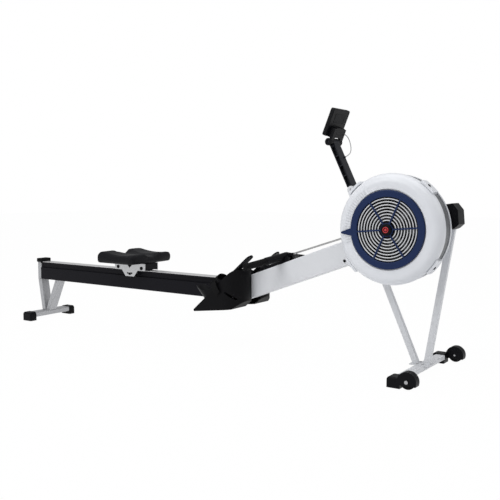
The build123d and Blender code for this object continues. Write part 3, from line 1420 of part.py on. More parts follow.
reach_x = TILT_X - ARM_PIVOT_X
reach_z = TILT_Z - ARM_PIVOT_Z
fold_length = hypot(reach_x, reach_z)
fold_angle = degrees(atan2(reach_z, reach_x))
lap_clear = POST_TUBE / 2 + LAP_CLEAR
with BuildPart() as arm:
    arm_plane = Plane.XZ.offset(-arm_far)
    with BuildSketch(arm_plane):
        with Locations(Location(((ARM_PIVOT_X + TILT_X) / 2, (ARM_PIVOT_Z + TILT_Z) / 2), fold_angle)):
            Rectangle(fold_length, ARM_THICKNESS)
        with Locations((ARM_PIVOT_X, ARM_PIVOT_Z)):
            Circle(POST_TUBE / 2)
        with Locations((TILT_X, TILT_Z)):
            Circle(KNUCKLE_RADIUS)
    extrude(amount=ARM_WIDTH)
    rib_pitch = (fold_length - 2 * lap_clear) / ARM_RIBS
    channel_plane = Plane(
        origin=(ARM_PIVOT_X, arm_near, ARM_PIVOT_Z), x_dir=(reach_x, 0, reach_z), z_dir=(0, -1, 0)
    )
    with BuildSketch(channel_plane):
        with Locations((fold_length / 2, 0)):
            with GridLocations(rib_pitch, 1, ARM_RIBS, 1):
                Rectangle(rib_pitch - ARM_WALL, ARM_THICKNESS - 2 * ARM_WALL)
    extrude(amount=-ARM_INSET, mode=Mode.SUBTRACT)
    with BuildSketch(Plane.XZ.offset(-post_far - RUN_GAP)):
        with Locations((ARM_PIVOT_X, ARM_PIVOT_Z)):
            Circle(lap_clear)
    extrude(amount=POST_LAP + POST_PLATE, mode=Mode.SUBTRACT)
    with BuildSketch(arm_plane):
        with Locations((ARM_PIVOT_X, ARM_PIVOT_Z)):
            Circle(HINGE_PIN_RADIUS + SHAFT_GAP)
    extrude(amount=ARM_WIDTH, mode=Mode.SUBTRACT)
    with BuildSketch(Plane.XZ):
        with Locations((TILT_X, TILT_Z)):
            Circle(HINGE_PIN_RADIUS)
    pin_near = ARM_Y - KNUCKLE_SPAN / 2
    extrude(amount=-(pin_near + KNUCKLE_SPAN))
    with BuildSketch(Plane.XZ):
        with Locations((TILT_X, TILT_Z)):
            Circle(2 * KNUCKLE_RADIUS)
    extrude(amount=-(pin_near + LAP_CLEAR), mode=Mode.SUBTRACT)
    arm_face = channel_plane.from_local_coords((GROMMET_PLACE, -ARM_THICKNESS / 2, -GROMMET_INSET))
    with BuildSketch(Plane(origin=arm_face, z_dir=-channel_plane.y_dir)):
        Circle(GROMMET_RADIUS)
    extrude(amount=GROMMET_LENGTH)
save(arm, "monitor_arm")

case_turn = radians(CASE_ANGLE)
case_back = Vector(cos(case_turn), 0, -sin(case_turn))
tilt_point = Vector(TILT_X, ARM_Y, TILT_Z)


def case_plane(depth: float) -> Plane:
    """Plane along the monitor: y runs up it, z faces the rower, at a depth in front of the tilt pin."""
    return Plane(origin=tilt_point - case_back * depth, x_dir=(0, -1, 0), z_dir=-case_back)


case_middle = CASE_LIFT + CASE_HEIGHT / 2
case_front = CASE_BACK + CASE_THICKNESS
screen_middle = CASE_LIFT + SCREEN_ROW
button_row = CASE_LIFT + BUTTON_ROW
with BuildPart() as case:
    with BuildSketch(case_plane(CASE_BACK)):
        with Locations((0, case_middle)):
            RectangleRounded(CASE_WIDTH, CASE_HEIGHT, 9)
    extrude(amount=CASE_THICKNESS)
    fillet(case.edges().filter_by(case_plane(0)), 3)
    with BuildSketch(case_plane(case_front)):
        with Locations((0, screen_middle)):
            RectangleRounded(SCREEN_WIDTH + RUN_GAP, SCREEN_HEIGHT + RUN_GAP, 3)
    extrude(amount=-2 * SCREEN_THICKNESS, mode=Mode.SUBTRACT)
    with BuildSketch(case_plane(case_front)):
        with Locations((0, button_row)):
            with GridLocations(BUTTON_PITCH, 1, BUTTONS, 1):
                RectangleRounded(BUTTON_WIDTH + 2 * RUN_GAP, BUTTON_HEIGHT + 2 * RUN_GAP, 2.5)
    extrude(amount=-BUTTON_DEPTH, mode=Mode.SUBTRACT)
    with BuildSketch(case_plane(CASE_BACK)):
        with Locations((-GLAND_SIDE, GLAND_RISE)):
            Circle(GLAND_RADIUS)
    extrude(amount=-GLAND_LENGTH)
save(case, "monitor_case")

with BuildPart() as screen:
    with BuildSketch(case_plane(case_front - 2 * SCREEN_THICKNESS)):
        with Locations((0, screen_middle)):
            RectangleRounded(SCREEN_WIDTH, SCREEN_HEIGHT, 3)
    extrude(amount=SCREEN_THICKNESS)
save(screen, "monitor_screen")

for index in range(BUTTONS):
    with BuildPart() as button:
        with BuildSketch(case_plane(case_front - BUTTON_DEPTH + BUTTON_TRAVEL + RUN_GAP)):
            with Locations(((index - (BUTTONS - 1) / 2) * BUTTON_PITCH, button_row)):
                RectangleRounded(BUTTON_WIDTH, BUTTON_HEIGHT, 2.2)
        extrude(amount=BUTTON_DEPTH - BUTTON_TRAVEL - RUN_GAP + BUTTON_PROUD)
        fillet(button.faces().sort_by(Axis((0, 0, 0), tuple(case_back)))[0].edges(), 0.8)
    save(button, f"monitor_button_{index + 1}")

with BuildPart() as neck:
    knuckle_half = KNUCKLE_SPAN / 2
    with BuildSketch(case_plane(CASE_BACK)):
        with Locations((0, CASE_LIFT + NECK_RISE)):
            RectangleRounded(NECK_WIDTH, NECK_HEIGHT, 4)
        neck_low = CASE_LIFT + NECK_RISE - NECK_HEIGHT / 2
        with Locations((0, neck_low)):
            Rectangle(CASE_WIDTH, CASE_LIFT - neck_low + NECK_RISE / 2, align=MIN_Y, mode=Mode.SUBTRACT)
    extrude(amount=-NECK_DEPTH)
    with BuildSketch(Plane.XZ.offset(-ARM_Y + knuckle_half)):
        with Locations((TILT_X, TILT_Z)):
            Circle(KNUCKLE_RADIUS)
    extrude(amount=-KNUCKLE_SPAN)
    for cheek in (-1, 1):
        with BuildSketch(case_plane(0)):
            with Locations((cheek * (knuckle_half + ARM_WIDTH / 2) / 2, 0)):
                Rectangle(knuckle_half - ARM_WIDTH / 2, CASE_LIFT + NECK_HEIGHT / 2, align=MIN_Y)
        extrude(amount=-(NECK_DEPTH - CASE_BACK))
        with BuildSketch(case_plane(0)):
            with Locations((cheek * (knuckle_half + ARM_WIDTH / 2) / 2, CASE_LIFT)):
                Rectangle(knuckle_half - ARM_WIDTH / 2, NECK_HEIGHT / 2, align=MIN_Y)
        extrude(amount=CASE_BACK)
    with BuildSketch(Plane.XZ.offset(-arm_far - RUN_GAP)):
        with Locations((TILT_X, TILT_Z)):
            Circle(KNUCKLE_RADIUS + 4 * RUN_GAP)
    extrude(amount=ARM_WIDTH + 2 * RUN_GAP, mode=Mode.SUBTRACT)
    with BuildSketch(Plane.XZ):
        with Locations((TILT_X, TILT_Z)):
            Circle(HINGE_PIN_RADIUS + SHAFT_GAP)
    extrude(amount=-HALF_WIDTH, mode=Mode.SUBTRACT)
save(neck, "monitor_neck")

# Cable that hangs free between the monitor's back and the arm
gland_plane = case_plane(CASE_BACK - GLAND_LENGTH)
gland_end = gland_plane.from_local_coords((-GLAND_SIDE, GLAND_RISE, 0))
grommet_end = arm_face - channel_plane.y_dir * GROMMET_LENGTH
cable_points = [
    gland_end,
    gland_end + case_back * GLAND_LEAD,
    tilt_point + Vector(40, 60, 20),
    tilt_point + Vector(51, 55, 0),
    tilt_point + Vector(61, 46, -22),
    tilt_point + Vector(66, 34, -42),
    grommet_end - channel_plane.y_dir * GROMMET_LEAD,
    grommet_end,
]


def bend_radii(points: list[Vector]) -> list[float]:
    """Largest even bends at the corners of a route: 0.45 of the shorter run over the half turn's tangent."""
    radii = []
    for before, here, after in zip(points, points[1:], points[2:]):
        turn = radians((here - before).get_angle(after - here))
        run = min((here - before).length, (after - here).length)
        radii.append(0.45 * run / tan(turn / 2))
    return radii


cable_radii = bend_radii(cable_points)
print("cable bend radii", [round(radius, 1) for radius in cable_radii])
with BuildPart() as cable:
    with BuildLine() as cable_path:
        FilletPolyline(*cable_points, radius=cable_radii)
    with BuildSketch(Plane(origin=gland_end, z_dir=case_back)):
        Circle(CABLE_RADIUS)
    sweep(path=cable_path.wires()[0])
print("cable length", round(cable_path.wires()[0].length, 1), "volume", round(cable.part.volume, 1))
save(cable, "monitor_cable")

# Fasteners on the fixed frame
with BuildPart() as frame_bolts:
    with BuildSketch(Plane.XZ.offset(POST_WIDTH / 2)):
        brace_bolt = (brace_top - BRACE_DEPTH / 3, rail_bottom - BOLT_MARGIN)
        post_bolt = (-HALF_LENGTH + POST_DEPTH / 2, rail_bottom)
        with Locations(brace_bolt, post_bolt):
            RegularPolygon(BOLT_RADIUS, 6)
    extrude(amount=BOLT_HEAD)
    mirror(about=Plane.XZ)
    with BuildSketch(Plane.XY.offset(foot_plate_top)):
        with Locations((FRONT_BAR_X, 0)):
            with GridLocations(foot_spread, LEG_WIDTH + 2 * BOLT_MARGIN, 2, 2):
                RegularPolygon(BOLT_RADIUS, 6)
    extrude(amount=BOLT_HEAD)
    for clip_angle in CLIP_ANGLES:
        screw_plane = axle_plane(clip_angle)
        screw_y = near_rim - CLIP_OVERLAP / 2
        screw_place = screw_plane.from_local_coords((HOUSING_RADIUS + CLIP_THICKNESS, screw_y, 0))
        with BuildSketch(Plane(origin=screw_place, z_dir=screw_plane.x_dir)):
            Circle(SCREW_RADIUS)
        extrude(amount=SCREW_HEAD)
    with BuildSketch(Plane.XZ.offset(-post_near)):
        with Locations(Location((ARM_POST_X, post_foot_z), BEAM_ANGLE)):
            pattern_x = POST_PLATE_LENGTH - 2 * BOLT_MARGIN
            pattern_z = POST_PLATE_HEIGHT - 2 * BOLT_MARGIN
            with GridLocations(pattern_x, pattern_z, 2, 2):
                RegularPolygon(BOLT_RADIUS, 6)
    extrude(amount=-BOLT_HEAD)
save(frame_bolts, "frame_bolts")

# Pins and rods that cross the fixed frame
with BuildPart() as cross_pins:
    pin_half = fender_inner + FENDER_WALL
    with BuildSketch(Plane.XZ.offset(WHEEL_Y - pin_half)):
        with Locations((wheel_x, wheel_z)):
            Circle(WHEEL_PIN_RADIUS)
    extrude(amount=2 * pin_half)
    with BuildSketch(Plane.XZ.offset(WHEEL_Y + pin_half)):
        with Locations((wheel_x, wheel_z)):
            Circle(WHEEL_PIN_RADIUS + BOLT_HEAD)
    extrude(amount=BOLT_HEAD)
    mirror(about=Plane.XZ)
    with BuildSketch(Plane.XZ):
        with Locations((rail_rod_x, rail_rod_z), (beam_rod_x, beam_rod_z)):
            Circle(ROD_RADIUS)
    extrude(amount=BOARD_OUTER - BOARD_WALL, both=True)
    with BuildSketch(Plane.XZ):
        with Locations((PULLEY_X, pulley_z)):
            Circle(PULLEY_PIN_RADIUS)
    extrude(amount=beam_half, both=True)
    cord_end = Vector(CORD_ANCHOR_X, 0, anchor_z)
    with BuildSketch(Plane(origin=cord_end, z_dir=(along[0], 0, along[1]), x_dir=(0, 1, 0))):
        Rectangle(BEAM_WIDTH - 2 * BEAM_WALL, 2 * CORD_RADIUS)
    extrude(amount=ANCHOR_LENGTH)
    with BuildSketch(Plane.XZ.offset(-arm_far - BOLT_HEAD)):
        with Locations((ARM_PIVOT_X, ARM_PIVOT_Z)):
            Circle(HINGE_PIN_RADIUS)
    extrude(amount=arm_far + BOLT_HEAD - post_near)
    with BuildSketch(Plane.XZ.offset(-arm_far - 2 * BOLT_HEAD)):
        with Locations((ARM_PIVOT_X, ARM_PIVOT_Z)):
            Circle(2 * HINGE_PIN_RADIUS)
    extrude(amount=BOLT_HEAD)
save(cross_pins, "cross_pins")
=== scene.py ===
"""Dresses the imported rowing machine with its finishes, soft parts and small fittings.

Every length is in metres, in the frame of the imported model: X forward, Y to the rower's left, Z up.
"""

import logging
import math
from dataclasses import dataclass, field
from enum import Enum
from typing import Callable, Sequence

import bpy
from mathutils import Matrix, Vector


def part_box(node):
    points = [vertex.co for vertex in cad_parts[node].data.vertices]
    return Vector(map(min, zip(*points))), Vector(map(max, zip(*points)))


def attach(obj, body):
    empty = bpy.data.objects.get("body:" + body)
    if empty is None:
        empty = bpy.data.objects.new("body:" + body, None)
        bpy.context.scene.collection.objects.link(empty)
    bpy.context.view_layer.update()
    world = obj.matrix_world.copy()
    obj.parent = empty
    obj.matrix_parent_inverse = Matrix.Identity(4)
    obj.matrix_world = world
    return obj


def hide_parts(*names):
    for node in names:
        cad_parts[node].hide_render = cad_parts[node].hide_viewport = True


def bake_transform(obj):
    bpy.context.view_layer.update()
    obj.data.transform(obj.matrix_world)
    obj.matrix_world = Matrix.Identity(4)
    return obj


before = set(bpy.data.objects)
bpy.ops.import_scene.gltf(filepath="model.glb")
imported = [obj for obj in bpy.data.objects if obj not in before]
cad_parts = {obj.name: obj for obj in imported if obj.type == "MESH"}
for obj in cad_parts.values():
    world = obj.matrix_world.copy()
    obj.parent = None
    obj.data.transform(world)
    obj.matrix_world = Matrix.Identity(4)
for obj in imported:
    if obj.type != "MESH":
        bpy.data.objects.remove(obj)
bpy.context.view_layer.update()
LOG = logging.getLogger("rowing_machine")
Colour = tuple[float, float, float]
Triple = tuple[float, float, float]
Piece = bpy.types.Object
Node = bpy.types.Node
Socket = bpy.types.NodeSocket
Relief = tuple[Socket, Socket]
UP = Vector((0.0, 0.0, 1.0))
RIGHT = Vector((0.0, -1.0, 0.0))
LYING = (math.pi / 2, 0.0, 0.0)  # lays an upright cylinder across the machine, its top to the right
FACING = 0.9  # cosine above which a face counts as looking one way
WELD = 1e-5
HEAD_SIDES = 28
COAT_ROUGHNESS = 0.18
ROUGHNESS_SWING = 0.07
BUMP_STRENGTH = 0.6
WHITE = (1.0, 1.0, 1.0, 1.0)


class Way(Enum):
    """Directions that brushed metal can run in."""

    ALONG_X = (4.0, 900.0, 900.0)
    ALONG_Y = (900.0, 4.0, 900.0)
    ALONG_Z = (900.0, 900.0, 4.0)


class Bench:
    """Hand tools for modelling: selecting, placing and finishing one piece at a time."""

    @staticmethod
    def close() -> None:
        """Leave edit mode."""
        bpy.ops.object.mode_set(mode="OBJECT")

    @staticmethod
    def clear() -> None:
        """Leave edit mode if it is open, and deselect everything."""
        if bpy.context.object and bpy.context.object.mode != "OBJECT":
            Bench.close()
        bpy.ops.object.select_all(action="DESELECT")

    @staticmethod
    def take(piece: Piece) -> None:
        """Make one object the only selected and active one.

        Args:
            piece: The object to work on.
        """
        Bench.clear()
        piece.select_set(True)
        bpy.context.view_layer.objects.active = piece

    @staticmethod
    def named(name: str) -> Piece:
        """Name the primitive that was just added.

        Args:
            name: The piece's name.

        Returns:
            The active object.
        """
        piece = bpy.context.object
        piece.name = name
        piece.data.name = name
        return piece

    @staticmethod
    def settle(piece: Piece) -> None:
        """Put the piece's place, turn and scale into its mesh."""
        Bench.take(piece)
        bpy.ops.object.transform_apply(location=True, rotation=True, scale=True)

    @staticmethod
    def put(piece: Piece, place: Sequence[float], turn: Triple) -> None:
        """Turn a piece, set it in place and put both into its mesh.

        Args:
            piece: The object to move.
            place: Where its origin goes.
            turn: Its rotation.
        """
        piece.rotation_euler = turn
        piece.location = place
        Bench.settle(piece)

    @staticmethod
    def modify(piece: Piece, kind: str, **settings: object) -> None:
        """Add one modifier and apply it.

        Args:
            piece: The object to change.
            kind: The modifier's type.
            settings: Its properties.
        """
        Bench.take(piece)
        modifier = piece.modifiers.new(kind.lower(), kind)
        for key, value in settings.items():
            setattr(modifier, key, value)
        bpy.ops.object.modifier_apply(modifier=modifier.name)

    @staticmethod
    def bevel(piece: Piece, width: float) -> None:
        """Round off a piece's sharp edges."""
        Bench.modify(piece, "BEVEL", width=width, segments=2, limit_method="ANGLE")

    @staticmethod
    def smooth(piece: Piece, angle: float = 35.0) -> None:
        """Shade the piece smooth, with edges sharper than an angle in degrees left hard."""
        Bench.take(piece)
        bpy.ops.object.shade_smooth_by_angle(angle=math.radians(angle))

    @staticmethod
    def outward(piece: Piece) -> None:
        """Merge doubled points and turn all faces outwards."""
        Bench.edit_all(piece)
        bpy.ops.mesh.remove_doubles(threshold=WELD)
        bpy.ops.mesh.normals_make_consistent(inside=False)
        Bench.close()

    @staticmethod
    def edit_all(piece: Piece) -> None:
        """Open a piece in edit mode with everything selected."""
        Bench.take(piece)
        bpy.ops.object.mode_set(mode="EDIT")
        bpy.ops.mesh.select_all(action="SELECT")

    @staticmethod
    def pick(piece: Piece, test: Callable[[Vector, Vector], bool]) -> None:
        """Open a piece in edit mode with some faces selected.

        Args:
            piece: The object to work on.
            test: Tells from a face's centre and normal whether it is wanted.
        """
        Bench.take(piece)
        bpy.ops.object.mode_set(mode="EDIT")
        bpy.ops.mesh.select_mode(type="FACE")
        bpy.ops.mesh.select_all(action="DESELECT")
        Bench.close()
        for polygon in piece.data.polygons:
            polygon.select = test(polygon.center, polygon.normal)
        bpy.ops.object.mode_set(mode="EDIT")

    @staticmethod
    def copy_node(node: str, name: str) -> Piece:
        """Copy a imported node's mesh into a new object and merge its loose triangles.

        Args:
            node: The node to copy.
            name: The new object's name.

        Returns:
            The new object, standing where the node is.
        """
        piece = bpy.data.objects.new(name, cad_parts[node].data.copy())
        piece.data.name = name
        piece.data.materials.clear()
        bpy.context.scene.collection.objects.link(piece)
        Bench.edit_all(piece)
        bpy.ops.mesh.remove_doubles(threshold=WELD)
        Bench.close()
        return piece

    @staticmethod
    def join(pieces: Sequence[Piece], name: str) -> Piece:
        """Join several objects into the first and name it.

        Args:
            pieces: The objects, all sitting at the origin.
            name: The joined piece's name.

        Returns:
            The joined object.
        """
        Bench.clear()
        for piece in pieces:
            piece.select_set(True)
        bpy.context.view_layer.objects.active = pieces[0]
        bpy.ops.object.join()
        return Bench.named(name)

    @staticmethod
    def cube(name: str, size: Triple) -> Piece:
        """Add a plain block at the origin, to be shaped further.

        Args:
            name: The piece's name.
            size: Its three sides.

        Returns:
            The block.
        """
        Bench.clear()
        bpy.ops.mesh.primitive_cube_add(size=1.0)
        piece = Bench.named(name)
        piece.scale = size
        Bench.settle(piece)
        return piece

    @staticmethod
    def cylinder(name: str, sides: int, radius: float, depth: float, **settings: object) -> Piece:
        """Add a plain cylinder, to be shaped further.

        Args:
            name: The piece's name.
            sides: How many sides its round has.
            radius: Its radius.
            depth: Its length.
            settings: Its place, turn and ends, where they aren't the usual ones.

        Returns:
            The cylinder.
        """
        Bench.clear()
        bpy.ops.mesh.primitive_cylinder_add(vertices=sides, radius=radius, depth=depth, **settings)
        piece = Bench.named(name)
        Bench.settle(piece)
        return piece

    @staticmethod
    def step_in(piece: Piece, way: Vector, *steps: tuple[float, float]) -> None:
        """Inset the faces that look one way and sink what is left of them, step by step.

        Args:
            piece: The object to shape.
            way: Where the faces look.
            steps: For each step, the rim that stays and how far the middle sinks (below 0 it rises).
        """
        Bench.pick(piece, lambda centre, normal: normal.dot(way) > FACING)
        for rim, sink in steps:
            bpy.ops.mesh.inset(thickness=rim)
            bpy.ops.mesh.extrude_region_move(TRANSFORM_OT_translate={"value": tuple(way * -sink)})
        Bench.close()


@dataclass(frozen=True)
class CupHead:
    """A round screw head with a sunk middle."""

    radius: float
    height: float
    rim: float
    sink: float
    rounding: float

    def build(self, name: str, place: Sequence[float], turn: Triple) -> Piece:
        """Model the head and set it in place.

        Args:
            name: The piece's name.
            place: Where its middle goes.
            turn: Its rotation, from standing upright.

        Returns:
            The head.
        """
        head = Bench.cylinder(name, HEAD_SIDES, self.radius, self.height)
        Bench.step_in(head, UP, (self.rim, self.sink))
        Bench.bevel(head, self.rounding)
        Bench.put(head, place, turn)
        return head


class NodeSketch:
    """Places and wires shader nodes in one tree."""

    def __init__(self, tree: bpy.types.NodeTree) -> None:
        """Start with an empty tree."""
        self.tree = tree
        tree.nodes.clear()

    def add(self, kind: str, inputs: dict[str, object] | None = None, **settings: object) -> Node:
        """Add a node and set its properties and sockets.

        Args:
            kind: The node's type, without its ShaderNode prefix.
            inputs: Values of its input sockets, by name.
            settings: Properties of the node.

        Returns:
            The new node.
        """
        node = self.tree.nodes.new(kind if kind.startswith("Node") else f"ShaderNode{kind}")
        for key, value in settings.items():
            setattr(node, key, value)
        for socket, value in (inputs or {}).items():
            node.inputs[socket].default_value = value
        return node

    def wire(self, source: Socket, target: Socket) -> None:
        """Join an output to an input."""
        self.tree.links.new(source, target)

    def math(self, operation: str, *values: object) -> Socket:
        """Add a math node fed by sockets or numbers.

        Args:
            operation: The node's operation.
            values: A socket or a number for each of its inputs.

        Returns:
            The node's output.
        """
        node = self.add("Math", operation=operation)
        for slot, value in enumerate(values):
            if isinstance(value, Socket):
                self.wire(value, node.inputs[slot])
            else:
                node.inputs[slot].default_value = value
        return node.outputs[0]

    def spread(self, value: Socket, low: float, high: float) -> Socket:
        """Map 0 to 1 on to a range.

        Args:
            value: The socket to map.
            low: Where 0 goes.
            high: Where 1 goes.

        Returns:
            The mapped output.
        """
        node = self.add("MapRange", {"To Min": low, "To Max": high})
        self.wire(value, node.inputs["Value"])
        return node.outputs["Result"]


class SharedEffects:
    """Shader groups that more than one finish uses."""

    def __init__(self) -> None:
        """Build every group once."""
        self.grain = self._grain()
        self.edges = self._edges()
        self.brush = self._brush()
        self.weave = self._weave()

    @staticmethod
    def _group(
        name: str, inputs: dict[str, str], outputs: dict[str, str]
    ) -> tuple[NodeSketch, Node, Node]:
        """Start a group with named sockets.

        Args:
            name: The group's name.
            inputs: Socket names and kinds that go in.
            outputs: Socket names and kinds that come out.

        Returns:
            A sketch of the new tree, its input node and its output node.
        """
        tree = bpy.data.node_groups.new(name, "ShaderNodeTree")
        for way, sockets in (("INPUT", inputs), ("OUTPUT", outputs)):
            for label, kind in sockets.items():
                tree.interface.new_socket(name=label, in_out=way, socket_type=f"NodeSocket{kind}")
        sketch = NodeSketch(tree)
        return sketch, sketch.add("NodeGroupInput"), sketch.add("NodeGroupOutput")

    def _grain(self) -> bpy.types.NodeTree:
        """Fine moulded grain with broad, faint clouds over it."""
        sketch, go, end = self._group(
            "moulded_grain", {"Scale": "Float", "Clouds": "Float"}, {"Height": "Float", "Cloud": "Float"}
        )
        place = sketch.add("TexCoord")
        fine = sketch.add("TexNoise", {"Detail": 3.0})
        broad = sketch.add("TexNoise", {"Detail": 5.0, "Roughness": 0.62})
        for noise, scale, result in ((fine, "Scale", "Height"), (broad, "Clouds", "Cloud")):
            sketch.wire(place.outputs["Object"], noise.inputs["Vector"])
            sketch.wire(go.outputs[scale], noise.inputs["Scale"])
            sketch.wire(noise.outputs["Fac"], end.inputs[result])
        return sketch.tree

    def _edges(self) -> bpy.types.NodeTree:
        """Softened edges, and a mask of where hands and feet rub them."""
        sketch, go, end = self._group(
            "rubbed_edges", {"Radius": "Float"}, {"Normal": "Vector", "Mask": "Float"}
        )
        soft = sketch.add("Bevel", samples=6)
        flat = sketch.add("NewGeometry")
        meet = sketch.add("VectorMath", operation="DOT_PRODUCT")
        place = sketch.add("TexCoord")
        noise = sketch.add("TexNoise", {"Scale": 60.0, "Detail": 6.0})
        sketch.wire(place.outputs["Object"], noise.inputs["Vector"])
        sketch.wire(go.outputs["Radius"], soft.inputs["Radius"])
        sketch.wire(soft.outputs["Normal"], meet.inputs[0])
        sketch.wire(flat.outputs["Normal"], meet.inputs[1])
        turned = sketch.math("SUBTRACT", 1.0, meet.outputs["Value"])
        edge = sketch.math("MULTIPLY", turned, 6.0)
        patchy = sketch.math("MULTIPLY", edge, noise.outputs["Fac"])
        sketch.wire(sketch.math("MINIMUM", patchy, 1.0), end.inputs["Mask"])
        sketch.wire(soft.outputs["Normal"], end.inputs["Normal"])
        return sketch.tree

    def _brush(self) -> bpy.types.NodeTree:
        """Long fine scratches along one direction."""
        sketch, go, end = self._group(
            "brush_lines", {"Stretch": "Vector"}, {"Height": "Float", "Streak": "Float"}
        )
        place = sketch.add("TexCoord")
        lean = sketch.add("Mapping")
        fine = sketch.add("TexNoise", {"Scale": 1.0, "Detail": 6.0})
        sketch.wire(place.outputs["Object"], lean.inputs["Vector"])
        sketch.wire(go.outputs["Stretch"], lean.inputs["Scale"])
        sketch.wire(lean.outputs["Vector"], fine.inputs["Vector"])
        for result in ("Height", "Streak"):
            sketch.wire(fine.outputs["Fac"], end.inputs[result])
        return sketch.tree

    def _weave(self) -> bpy.types.NodeTree:
        """Crossing yarns on the piece's own map, for webbing and cords, with painted shade where the yarns
        sink.
        """
        sketch, go, end = self._group(
            "woven_yarns", {"Across": "Float", "Along": "Float"}, {"Height": "Float", "Shade": "Float"}
        )
        place = sketch.add("UVMap")
        split = sketch.add("SeparateXYZ")
        sketch.wire(place.outputs["UV"], split.inputs[0])
        weft = sketch.math("SINE", sketch.math("MULTIPLY", split.outputs[0], go.outputs["Across"]))
        warp = sketch.math("SINE", sketch.math("MULTIPLY", split.outputs[1], go.outputs["Along"]))
        # The colour follows the relief: the yarns darken where they sink, painted shade between them.
        raised = sketch.math("MULTIPLY_ADD", sketch.math("MULTIPLY", weft, warp), 0.5, 0.5)
        for result in ("Height", "Shade"):
            sketch.wire(raised, end.inputs[result])
        return sketch.tree


EFFECTS = SharedEffects()


@dataclass(frozen=True)
class Finish:
    """A painted, moulded or metal surface.

    The grain is in cycles per metre, its depth and the edge radius in metres.
    """

    name: str
    colour: Colour
    roughness: float = 0.5
    metallic: float = 0.0
    coat: float = 0.0
    grain: float = 900.0
    depth: float = 0.00004
    clouds: float = 9.0
    tint: float = 0.10
    rub: float = 0.25
    rubbed: Colour = (0.35, 0.35, 0.36)
    edge: float = 0.0009
    specular: float = 0.5

    def build(self) -> bpy.types.Material:
        """Make the material, or find it if it exists.

        Returns:
            The material.
        """
        found = bpy.data.materials.get(self.name)
        if found:
            return found
        material = bpy.data.materials.new(self.name)
        material.use_nodes = True
        sketch = NodeSketch(material.node_tree)
        surface = sketch.add("BsdfPrincipled", {
            "Metallic": self.metallic,
            "Coat Weight": self.coat,
            "Coat Roughness": COAT_ROUGHNESS,
            "Specular IOR Level": self.specular,
        })
        end = sketch.add("OutputMaterial")
        sketch.wire(surface.outputs["BSDF"], end.inputs["Surface"])
        self.dress(sketch, surface)
        material.diffuse_color = (*self.colour, 1.0)
        return material

    def texture(self, sketch: NodeSketch) -> Relief:
        """Relief and clouding of this surface.

        Args:
            sketch: The material's nodes.

        Returns:
            Height and shade outputs, each about 0 to 1.
        """
        grain = sketch.add("Group", {"Scale": self.grain, "Clouds": self.clouds}, node_tree=EFFECTS.grain)
        return grain.outputs["Height"], grain.outputs["Cloud"]

    def base(self, sketch: NodeSketch, shade: Socket) -> Socket:
        """Colour of this surface before its edges are rubbed.

        Args:
            sketch: The material's nodes.
            shade: The clouding, or for woven finishes the painted shade where the yarns sink.

        Returns:
            A colour output.
        """
        darker, lighter = (
            [min(1.0, part * share) for part in self.colour] for share in (1 - self.tint, 1 + self.tint)
        )
        mix = sketch.add("Mix", {"A": (*darker, 1.0), "B": (*lighter, 1.0)}, data_type="RGBA")
        sketch.wire(shade, mix.inputs["Factor"])
        return mix.outputs["Result"]

    def dress(self, sketch: NodeSketch, surface: Node) -> None:
        """Wire colour, roughness and relief into the shader.

        Args:
            sketch: The material's nodes.
            surface: The shader.
        """
        height, shade = self.texture(sketch)
        edges = sketch.add("Group", {"Radius": self.edge}, node_tree=EFFECTS.edges)
        worn = sketch.add("Mix", {"B": (*self.rubbed, 1.0)}, data_type="RGBA")
        sketch.wire(sketch.math("MULTIPLY", edges.outputs["Mask"], self.rub), worn.inputs["Factor"])
        sketch.wire(self.base(sketch, shade), worn.inputs["A"])
        sketch.wire(worn.outputs["Result"], surface.inputs["Base Color"])
        rough = sketch.spread(shade, self.roughness - ROUGHNESS_SWING, self.roughness + ROUGHNESS_SWING)
        sketch.wire(rough, surface.inputs["Roughness"])
        bump = sketch.add("Bump", {"Strength": BUMP_STRENGTH, "Distance": self.depth})
        sketch.wire(height, bump.inputs["Height"])
        sketch.wire(edges.outputs["Normal"], bump.inputs["Normal"])
        sketch.wire(bump.outputs["Normal"], surface.inputs["Normal"])


@dataclass(frozen=True)
class BrushedFinish(Finish):
    """Metal with scratches along one direction."""

    way: Way = Way.ALONG_X

    def texture(self, sketch: NodeSketch) -> Relief:
        """Scratches for the relief and the shade."""
        brush = sketch.add("Group", {"Stretch": self.way.value}, node_tree=EFFECTS.brush)
        return brush.outputs["Height"], brush.outputs["Streak"]


@dataclass(frozen=True)
class WovenFinish(Finish):
    """Webbing or cord with yarns that follow the piece's own map, darker where they sink as painted shade.
    """

    across: float = 480.0
    along: float = 150.0

    def texture(self, sketch: NodeSketch) -> Relief:
        """Yarns for the relief, and the same pattern as painted shade on the colour."""
        weave = sketch.add("Group", {"Across": self.across, "Along": self.along}, node_tree=EFFECTS.weave)
        return weave.outputs["Height"], weave.outputs["Shade"]


@dataclass(frozen=True)
class FastenerFinish(Finish):
    """Plated bolt heads, with blackened screws beyond a plane on the right side."""

    dark: Colour = (0.008, 0.008, 0.009)
    plane: float = -0.08

    def base(self, sketch: NodeSketch, shade: Socket) -> Socket:
        """Plating on most heads and a black finish on those far to the right."""
        plated = super().base(sketch, shade)
        place = sketch.add("TexCoord")
        split = sketch.add("SeparateXYZ")
        sketch.wire(place.outputs["Object"], split.inputs[0])
        beyond = sketch.math("LESS_THAN", split.outputs[1], self.plane)
        mix = sketch.add("Mix", {"B": (*self.dark, 1.0)}, data_type="RGBA")
        sketch.wire(beyond, mix.inputs["Factor"])
        sketch.wire(plated, mix.inputs["A"])
        return mix.outputs["Result"]


